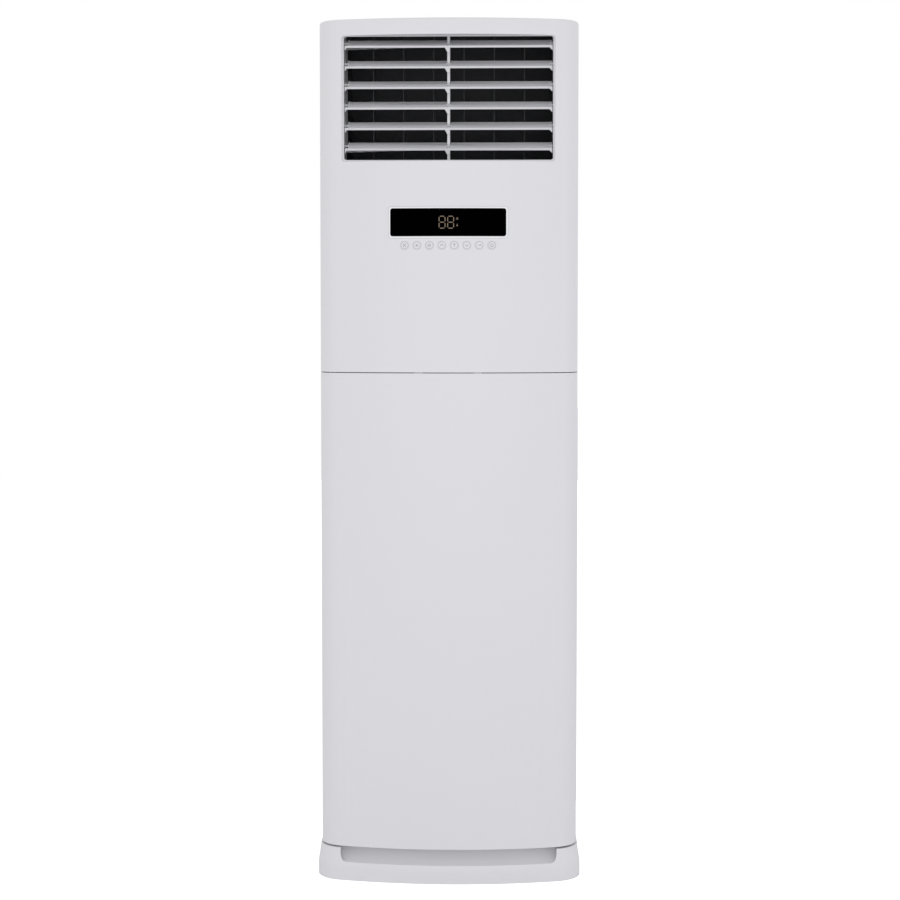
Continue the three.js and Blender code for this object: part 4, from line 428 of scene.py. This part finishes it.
def rounded_bar(left, right, low, high, radius, front, back):
    """A bar along Y with a rounded rectangular section."""
    bm = cuboid(left, right, low, high, front, back)
    along = [e for e in bm.edges
             if abs(e.verts[0].co.y - e.verts[1].co.y) > (back - front) / 2]
    bmesh.ops.bevel(bm, geom=along, offset=radius, segments=8, profile=0.5,
                    affect="EDGES", material=-1)
    return bm


def window_bar(front, back, grow=0.0):
    """A bar along Y with the display window's section, or a little more."""
    wide, tall = (size / 2 + grow for size in WINDOW_SIZE)
    return rounded_bar(-wide, wide, WINDOW_MIDDLE - tall, WINDOW_MIDDLE + tall,
                       WINDOW_CORNER + grow, front, back)


def on_bow(x, z):
    """A frame on the bowed front whose Y runs inwards along the bow's radius."""
    turn = math.asin(x / BOW_RADIUS)
    y = BOW_CENTRE - BOW_RADIUS * math.cos(turn)
    return Matrix.Translation((x, y, z)) @ Matrix.Rotation(turn, 4, "Z")


def key_axis(index):
    return on_bow((index - (KEY_COUNT - 1) / 2) * KEY_PITCH, KEY_Z)


def key_bar(index, radius, front, back):
    """A round bar along a key's axis, between two depths behind the bow."""
    bm = bmesh.new()
    bmesh.ops.create_cone(bm, cap_ends=True, segments=48, radius1=radius,
                          radius2=radius, depth=back - front,
                          matrix=Matrix.Rotation(math.pi / 2, 4, "X"))
    bmesh.ops.translate(bm, vec=(0, (front + back) / 2, 0), verts=bm.verts)
    bmesh.ops.transform(bm, matrix=key_axis(index), verts=bm.verts)
    return bm


def hollow_block(low, high, edge=0.0):
    """What a front moulding is hollow by; it runs out through the open back."""
    hollow = place(wrap_block(low, high, WALL, edge), "hollow")
    for v in hollow.data.vertices:
        if v.co.y > WRAP_BACK - 0.0001:
            v.co.y += 0.02
    return hollow


def add_bands(piece, bands):
    """Joins level stiffening bands, given by foot and depth, inside a moulding."""
    for low, depth in bands:
        band = place(wrap_block(low, low + WALL, WALL / 2), "band")
        carve(band, place(wrap_block(low - PAST, low + WALL + PAST, depth), "band_inside"))
        carve(piece, band, "UNION")


def add_side_lips(piece, low, high):
    """Joins the lips along a moulding's rear edges, beside the sheet panels."""
    for left, right in SIDE_LIPS:
        carve(piece, place(cuboid(left, right, low, high, WRAP_BACK - WALL, WRAP_BACK),
                           "side_lip"), "UNION")


upper = place(wrap_block(UPPER_FOOT, TOP, 0.0, TOP_ROUND), "upper_moulding")
carve(upper, hollow_block(SEAM - PAST, TOP - WALL, TOP_ROUND - WALL))
collar = place(rounded_bar(OPENING[0] - COLLAR, OPENING[1] + COLLAR,
                           OPENING[2] - COLLAR, OPENING[3] + COLLAR,
                           OPENING_CORNER + COLLAR, FRONT - 0.02,
                           INSERT_FRONT - 0.0003), "collar")
carve(collar, place(wrap_block(SEAM, TOP, 0.0005), "collar_limit"), "INTERSECT")
carve(upper, collar, "UNION")
add_bands(upper, ((UPPER_FOOT, LIP_DEPTH), (1.1785, RIB_DEPTH), (1.4385, RIB_DEPTH)))
add_side_lips(upper, UPPER_FOOT, TOP - WALL)
carve(upper, place(rounded_bar(*OPENING, OPENING_CORNER, OUTSIDE, 0.0), "opening"))
carve(upper, place(window_bar(OUTSIDE, 0.0, WINDOW_PLAY), "window_opening"))
for i in range(KEY_COUNT):
    carve(upper, place(key_bar(i, KEY_RADIUS + KEY_PLAY, -PAST, PAST), "key_hole"))
for x in (-HOOK_X, HOOK_X):
    carve(upper, place(cuboid(
        x - HOOK_HALF - HOOK_PLAY, x + HOOK_HALF + HOOK_PLAY, SEAM - 0.001, SLOT_TOP,
        HINGE_Y - HOOK_THICK / 2 - HOOK_PLAY, HINGE_Y + HOOK_REACH + HOOK_PLAY),
        "hook_slot"))
smooth(upper)
finish_as(upper, white_plastic)
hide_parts("upper_front_panel")
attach(upper, "cabinet")

# ------------------------------------------------------------------ lower front panel
# The long bowed moulding below the seam. Hooks at its top hang in the upper
# panel, so its foot swings out for the filters and the wiring.
LOWER_FOOT = 0.070
LOWER_TOP = SEAM - SEAM_GAP / 2
HOOK_FOOT = SEAM - 0.0025
HOOK_CATCH = SEAM + 0.0065
HOOK_TOP = SEAM + 0.009
lower = place(wrap_block(LOWER_FOOT, LOWER_TOP, 0.0), "lower_moulding")
carve(lower, hollow_block(LOWER_FOOT - PAST, SEAM + PAST))
add_bands(lower, ((LOWER_FOOT, LIP_DEPTH), (0.312, RIB_DEPTH), (0.7885, RIB_DEPTH),
                  (LOWER_TOP - WALL, LIP_DEPTH)))
add_side_lips(lower, LOWER_FOOT, LOWER_TOP)
ease_edges(lower, 0.0006)
for x in (-HOOK_X, HOOK_X):
    hook = place(cuboid(x - HOOK_HALF, x + HOOK_HALF, HOOK_FOOT, HOOK_TOP,
                        HINGE_Y - HOOK_THICK / 2, HINGE_Y + HOOK_THICK / 2), "hook")
    carve(hook, place(cuboid(x - HOOK_HALF, x + HOOK_HALF, HOOK_CATCH, HOOK_TOP,
                             HINGE_Y, HINGE_Y + HOOK_REACH), "hook_tip"), "UNION")
    carve(lower, hook, "UNION")
smooth(lower)
finish_as(lower, white_plastic)
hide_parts("lower_front_panel")
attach(lower, "lower_panel")

# ------------------------------------------------------------------ outlet insert
# The moulded frame in the outlet, with its side walls and centre rib. Slightly
# darker white plastic than the panels, with soft moulded edges.
FINE_EDGE = 0.0003
MOULDED_EDGE = 0.0004


def body_of(node):
    bodies = frame["record"]["behaviour"]["bodies"]
    return [name for name, nodes in bodies.items() if node in nodes][0]


def dressed(node, finish, width=0.0, angle=20):
    """A copy of the CAD solid in its place, with eased edges and smooth rounds."""
    bm = bmesh.new()
    bm.from_mesh(frame["nodes"][node].data)
    bmesh.ops.remove_doubles(bm, verts=bm.verts, dist=0.00001)
    bmesh.ops.dissolve_limit(bm, angle_limit=math.radians(1.0), verts=bm.verts,
                             edges=bm.edges)
    piece = place(bm, node + "_dressed")
    if width:
        ease_edges(piece, width, 35)
    smooth(piece, angle)
    finish_as(piece, finish)
    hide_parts(node)
    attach(piece, body_of(node))


outlet_plastic = moulded("outlet_white", (0.69, 0.69, 0.71), 0.42)
dressed("outlet_frame", outlet_plastic, MOULDED_EDGE)

# ------------------------------------------------------------------ louvers
# Six level blades with a thick front lip and a pin at each end. They turn
# together, tied by an upright rod at their left ends.
for i in range(1, 7):
    dressed(f"louver_{i}", outlet_plastic, MOULDED_EDGE)
# the upright rod is painted dark grey: painted shade for the shadow it lies in at the
# outlet's left end
link_painted_shade = moulded("link_painted_shade_grey", (0.10, 0.10, 0.105), 0.5)
dressed("louver_link", link_painted_shade, FINE_EDGE)

# ------------------------------------------------------------------ vanes
# Six upright blades behind the louvers, in dark plastic. A rod ties them, and a
# small geared motor under the outlet turns them through a crank.
dark = moulded("dark_plastic", (0.016, 0.017, 0.019), 0.6)
for i in range(1, 7):
    dressed(f"vane_{i}", dark, FINE_EDGE)
for node in ("vane_link", "swing_crank"):
    dressed(node, dark, FINE_EDGE)


def plated(name, colour, roughness, metal, crystal, contrast):
    """Metal whose crystals differ a little in tone and gloss."""
    finish, tree, shader, where = new_finish(name)
    spangle = add_node(tree, "TexVoronoi", {"Vector": where, "Scale": crystal}, "Color")
    scratches = add_node(tree, "TexNoise", {"Vector": where, "Scale": 380.0}, "Fac")
    set_inputs(tree, shader, {
        "Metallic": metal,
        "Base Color": two_tone(
            tree, spangle, [c * (1 - contrast) for c in colour], colour),
        "Roughness": between(tree, spangle, roughness - 0.06, roughness + 0.08),
        "Normal": relief(tree, scratches, 0.00003, 0.25)})
    return finish


motor_steel = plated("motor_steel", (0.42, 0.43, 0.44), 0.38, 0.8, 700.0, 0.08)
dressed("swing_motor", motor_steel, MOULDED_EDGE)

# ------------------------------------------------------------------ display window
# A clear lens sunk flush into the upper panel, printed black from behind on a
# field with round corners, so a narrow light border is left. That border is
# painted lighter than the panel white, a painted highlight along the lens edge.
SKIN_FOOT = 1.29
SKIN_TOP = 1.43
LENS_SUNK = 0.0003
FIELD_HALF_WIDTH = 0.1178
FIELD_HALF_HEIGHT = 0.0284
FIELD_CORNER = 0.005
FIELD_BLUR = 0.0002


def beyond(tree, value, middle, half):
    """How far the value lies past half from the middle, or nothing."""
    for operation, amount in (("SUBTRACT", middle), ("ABSOLUTE", 0.0),
                              ("SUBTRACT", half), ("MAXIMUM", 0.0)):
        value = add_node(tree, "Math", {0: value, 1: amount}, operation=operation)
    return value


lens = place(window_bar(FRONT - 0.02, 0.0), "display_lens")
skin = place(wrap_block(SKIN_FOOT, SKIN_TOP, LENS_SUNK), "lens_skin")
carve(skin, place(wrap_block(SKIN_FOOT - PAST, SKIN_TOP + PAST, WALL - LENS_SUNK),
                  "lens_inside"))
carve(lens, skin, "INTERSECT")
ease_edges(lens, FINE_EDGE, 50)
smooth(lens)
lens_finish, tree, shader, where = new_finish("display_black")
split = tree.nodes.new("ShaderNodeSeparateXYZ")
set_inputs(tree, split, {0: where})
past_corner = add_node(tree, "CombineXYZ", {
    "X": beyond(tree, split.outputs["X"], 0.0, FIELD_HALF_WIDTH - FIELD_CORNER),
    "Z": beyond(tree, split.outputs["Z"], WINDOW_MIDDLE,
                FIELD_HALF_HEIGHT - FIELD_CORNER)})
in_field = add_node(tree, "MapRange", {
    "Value": add_node(tree, "VectorMath", {0: past_corner}, "Value", operation="LENGTH"),
    "From Min": FIELD_CORNER + FIELD_BLUR,
    "From Max": FIELD_CORNER - FIELD_BLUR})
# the border's light colour is brighter than the panel white: a painted highlight along the
# lens edge
set_inputs(tree, shader, {
    "Roughness": 0.2,
    "Base Color": two_tone(tree, in_field, (0.83, 0.83, 0.85), (0.0003, 0.0003, 0.0004)),
    "Specular IOR Level": between(tree, in_field, 0.5, 0.0)})
finish_as(lens, lens_finish)
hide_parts("display_window")
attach(lens, "cabinet")

# ------------------------------------------------------------------ digits
# Two plain digits and two small marks beside them, glowing dimly in amber on
# the dark field of the window.
LENS_FACE = 0.00027
PRINT_THICK = 0.00006
DIGIT_HALF_WIDTH = 0.0060
DIGIT_HALF_HEIGHT = 0.0120
SEGMENT = 0.0017
DIGITS_X = (-0.0122, 0.0052)
MARKS_X = 0.0185
MARKS = ((0.0065, 0.0022), (-0.0070, 0.0016))  # height and half width of each


def stroke(bm, start, end, width, y):
    """A thin bar between two points of a face, printed at the depth y."""
    line = Vector((end[0] - start[0], 0, end[1] - start[1]))
    made = bmesh.ops.create_cube(bm, size=1.0)["verts"]
    bmesh.ops.scale(bm, vec=(line.length, PRINT_THICK, width), verts=made)
    middle = ((start[0] + end[0]) / 2, y, (start[1] + end[1]) / 2)
    turn = Matrix.Rotation(-math.atan2(line.z, line.x), 4, "Y")
    bmesh.ops.transform(bm, matrix=Matrix.Translation(middle) @ turn, verts=made)


def printed(bm, seat, name, ink, body):
    """Puts a print, drawn about the origin, on its seat and its body."""
    bmesh.ops.transform(bm, matrix=seat, verts=bm.verts)
    mark = place(bm, name)
    finish_as(mark, ink)
    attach(mark, body)


amber = moulded("digit_amber", (0.05, 0.04, 0.028), 0.5)
set_inputs(amber.node_tree, amber.node_tree.nodes["Principled BSDF"], {
    "Emission Color": (0.150, 0.108, 0.068, 1), "Emission Strength": 1.0})
for i, x in enumerate(DIGITS_X):
    bm = bmesh.new()
    reach = DIGIT_HALF_WIDTH - SEGMENT
    for z in (-DIGIT_HALF_HEIGHT, 0, DIGIT_HALF_HEIGHT):
        stroke(bm, (-reach, z), (reach, z), SEGMENT, LENS_FACE)
    for side in (-DIGIT_HALF_WIDTH, DIGIT_HALF_WIDTH):
        for end in (-DIGIT_HALF_HEIGHT, DIGIT_HALF_HEIGHT):
            short = math.copysign(SEGMENT, end)
            stroke(bm, (side, short), (side, end - short), SEGMENT, LENS_FACE)
    printed(bm, on_bow(x, WINDOW_MIDDLE), f"digit_{i + 1}", amber, "cabinet")
bm = bmesh.new()
for z, reach in MARKS:
    stroke(bm, (-reach, z), (reach, z), SEGMENT, LENS_FACE)
    stroke(bm, (0, z + SEGMENT), (0, z + 2 * SEGMENT), SEGMENT, LENS_FACE)
printed(bm, on_bow(MARKS_X, WINDOW_MIDDLE), "digit_marks", amber, "cabinet")

# ------------------------------------------------------------------ keys
# Eight small round keys in a row under the display, each printed with a thin
# grey ring and a plain mark. They move in by a millimetre along their axes.
KEY_PROUD = 0.0005
KEY_FACE = -0.00053
FLANGE_FRONT = WALL + 0.0006
FLANGE_BACK = WALL + 0.0014
FLANGE = 0.0008
RING_RADIUS = 0.0072
RING_WIDTH = 0.0006
MARK_WIDTH = 0.0009
FULL_TURN = 2 * math.pi
FAR = 0.0032
# each key's strokes, from point to point across and up: a cross, a plus, three
# level lines, a roof, an arrow up, a tick down, half an arrow, and the short
# line of an on and off sign, whose open ring is added last
KEY_MARKS = (
    [((-FAR, -FAR), (FAR, FAR)), ((-FAR, FAR), (FAR, -FAR))],
    [((0, -FAR), (0, FAR)), ((-FAR, 0), (FAR, 0))],
    [((-FAR, z), (FAR, z)) for z in (-0.0020, 0, 0.0020)],
    [((-FAR, -0.0018), (0, 0.0026)), ((0, 0.0026), (FAR, -0.0018))],
    [((0, -FAR), (0, FAR)), ((-0.0022, 0.0012), (0, FAR)), ((0.0022, 0.0012), (0, FAR))],
    [((-FAR, 0.0018), (0, -0.0026)), ((0, -0.0026), (FAR, 0.0018))],
    [((-FAR, 0), (FAR, 0)), ((0.0010, 0.0022), (FAR, 0))],
    [((0, 0.0008), (0, 0.0038))],
)


def ring(bm, radius, width, start=0.0, sweep=FULL_TURN):
    """A flat ring printed on a key's face, or a part of one."""
    turn = Matrix.Rotation(start, 4, "Y")
    ends = [bm.verts.new(turn @ Vector((reach, KEY_FACE, 0)))
            for reach in (radius - width / 2, radius + width / 2)]
    bmesh.ops.spin(bm, geom=[*ends, bm.edges.new(ends)], cent=(0, KEY_FACE, 0),
                   axis=(0, 1, 0), angle=sweep, steps=int(48 * sweep / FULL_TURN),
                   use_merge=sweep == FULL_TURN)
    bmesh.ops.recalc_face_normals(bm, faces=bm.faces[:])


key_plastic = moulded("key_white", (0.73, 0.73, 0.75), 0.4)
key_print = moulded("key_print_grey", (0.26, 0.26, 0.27), 0.5)
ring_print = moulded("key_ring_grey", (0.42, 0.42, 0.43), 0.5)
for i, strokes in enumerate(KEY_MARKS):
    key = place(key_bar(i, KEY_RADIUS, -KEY_PROUD, FLANGE_FRONT), f"key_cap_{i + 1}")
    carve(key, place(key_bar(i, KEY_RADIUS + FLANGE, FLANGE_FRONT, FLANGE_BACK),
                     "key_collar"), "UNION")
    ease_edges(key, 0.0002)
    smooth(key)
    finish_as(key, key_plastic)
    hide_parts(f"key_{i + 1}")
    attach(key, f"key_{i + 1}")
    bm = bmesh.new()
    ring(bm, RING_RADIUS, RING_WIDTH)
    printed(bm, key_axis(i), f"key_ring_{i + 1}", ring_print, f"key_{i + 1}")
    bm = bmesh.new()
    for start, end in strokes:
        stroke(bm, start, end, MARK_WIDTH, KEY_FACE)
    if i == KEY_COUNT - 1:
        ring(bm, 0.0029, MARK_WIDTH, math.radians(-60), math.radians(300))
    printed(bm, key_axis(i), f"key_mark_{i + 1}", key_print, f"key_{i + 1}")

# ------------------------------------------------------------------ sheet panels
# Painted steel sheets at the sides and back, and the folded lid on top. They
# are screwed to each other behind the front mouldings.
paint = moulded("sheet_paint", (0.70, 0.702, 0.73), 0.44, 1400.0, 0.00003)
for node in ("left_side_panel", "right_side_panel", "back_panel", "top_cover"):
    dressed(node, paint, FINE_EDGE)

# ------------------------------------------------------------------ air intakes
# A moulded grille clips into each side, with a framed net of fine threads held
# behind it. Both come out together for washing.
THICK_EDGE = 0.0005


def striped(name, light, shade, axes, pitch, metal, roughness, depth):
    """Fine ribs or threads at one pitch along the named axes, in the light tone on the
    ribs and the shade tone between them.
    """
    finish, tree, shader, where = new_finish(name)
    # at scale 1 the node's waves are a tenth of pi apart
    scale = math.pi / (10 * pitch)
    waves = [add_node(tree, "TexWave", {"Vector": where, "Scale": scale}, "Fac",
                      bands_direction=axis) for axis in axes]
    height = waves[0]
    for wave in waves[1:]:
        height = add_node(tree, "Math", {0: height, 1: wave}, operation="MAXIMUM")
    # on the coil fins, the filter net and the hose the darker tone between the ribs is
    # painted shade in the grooves; on the board it is the printed tracks
    set_inputs(tree, shader, {
        "Metallic": metal,
        "Roughness": roughness,
        "Base Color": two_tone(tree, height, shade, light),
        "Normal": relief(tree, height, depth)})
    return finish


# the near-black tone between the threads is painted shade for the dark inside seen through
# the net
net = striped("filter_net", (0.16, 0.18, 0.20), (0.03, 0.035, 0.04), "YZ", 0.0014,
              0.0, 0.6, 0.0003)
for side in ("left", "right"):
    dressed(f"{side}_inlet_grille", white_plastic, THICK_EDGE)
    dressed(f"{side}_air_filter", net)

# ------------------------------------------------------------------ blower
# A wheel with slightly curved blades turns in a spiral casing of dark plastic
# behind a flared inlet ring. Its motor sits in a steel bracket on the back sheet.
ROUND = 40
SOFT_EDGE = 0.0006
wheel_plastic = moulded("wheel_grey", (0.030, 0.031, 0.033), 0.5)
zinc = plated("zinc_sheet", (0.50, 0.51, 0.53), 0.42, 0.85, 160.0, 0.22)
dressed("fan_wheel", wheel_plastic, angle=ROUND)
for node in ("scroll_casing", "inlet_ring"):
    dressed(node, dark, angle=ROUND)
dressed("fan_motor", motor_steel, SOFT_EDGE, ROUND)
dressed("motor_bracket", zinc, FINE_EDGE)

# ------------------------------------------------------------------ coil and tray
# A slanting pack of close aluminium fins with its tube bends, drawn as one
# solid, stands in a tray that catches the water. Foam lines the duct above.
# the dark tone between the fins is painted shade in the narrow gaps of the coil
fins = striped("coil_fins", (0.72, 0.73, 0.74), (0.20, 0.20, 0.21), "X", 0.0018,
               0.9, 0.35, 0.0005)
foam = moulded("foam_grey", (0.045, 0.046, 0.05), 0.9, 260.0, 0.0002)
dressed("evaporator", fins, angle=ROUND)
for node in ("duct_liner", "drain_pan"):
    dressed(node, foam, SOFT_EDGE)
dressed("duct_front_plate", zinc)

# ------------------------------------------------------------------ pipes and hose
# Two copper pipes run down from the coil to their nuts above the rubber grommet
# in the back, and a ribbed hose leads the water from the tray to the base.
BENT = 60
copper = plated("pipe_copper", (0.72, 0.36, 0.22), 0.3, 1.0, 420.0, 0.12)
# the darker tone in the hose's grooves is painted shade
ribbed = striped("hose_ribbed", (0.62, 0.62, 0.60), (0.40, 0.40, 0.39), "Z", 0.004,
                 0.0, 0.5, 0.0012)
rubber = moulded("rubber_black", (0.020, 0.020, 0.021), 0.7, 500.0, 0.00006)
for node in ("gas_pipe", "liquid_pipe"):
    dressed(node, copper, angle=BENT)
dressed("drain_hose", ribbed, angle=BENT)
dressed("pipe_grommet", rubber, THICK_EDGE, ROUND)

# ------------------------------------------------------------------ wiring and board
# A folded steel box with a lid holds the wiring behind the lower panel, and a
# circuit board sits behind the window and the keys.
board = striped("circuit_board", (0.015, 0.085, 0.035), (0.008, 0.045, 0.02), "XZ",
                0.0026, 0.0, 0.35, 0.00004)
for node in ("electric_box", "electric_box_cover"):
    dressed(node, zinc, FINE_EDGE)
dressed("display_board", board, 0.0002)

# ------------------------------------------------------------------ base and wall strap
# A zinc plated pan closes the plinth and carries four rubber feet. A strap at
# the top of the back ties the tall cabinet to a wall.
for node in ("base_pan", "wall_bracket"):
    dressed(node, zinc, FINE_EDGE)
for node in ("foot_front_left", "foot_front_right", "foot_rear_left", "foot_rear_right"):
    dressed(node, rubber, SOFT_EDGE, ROUND)
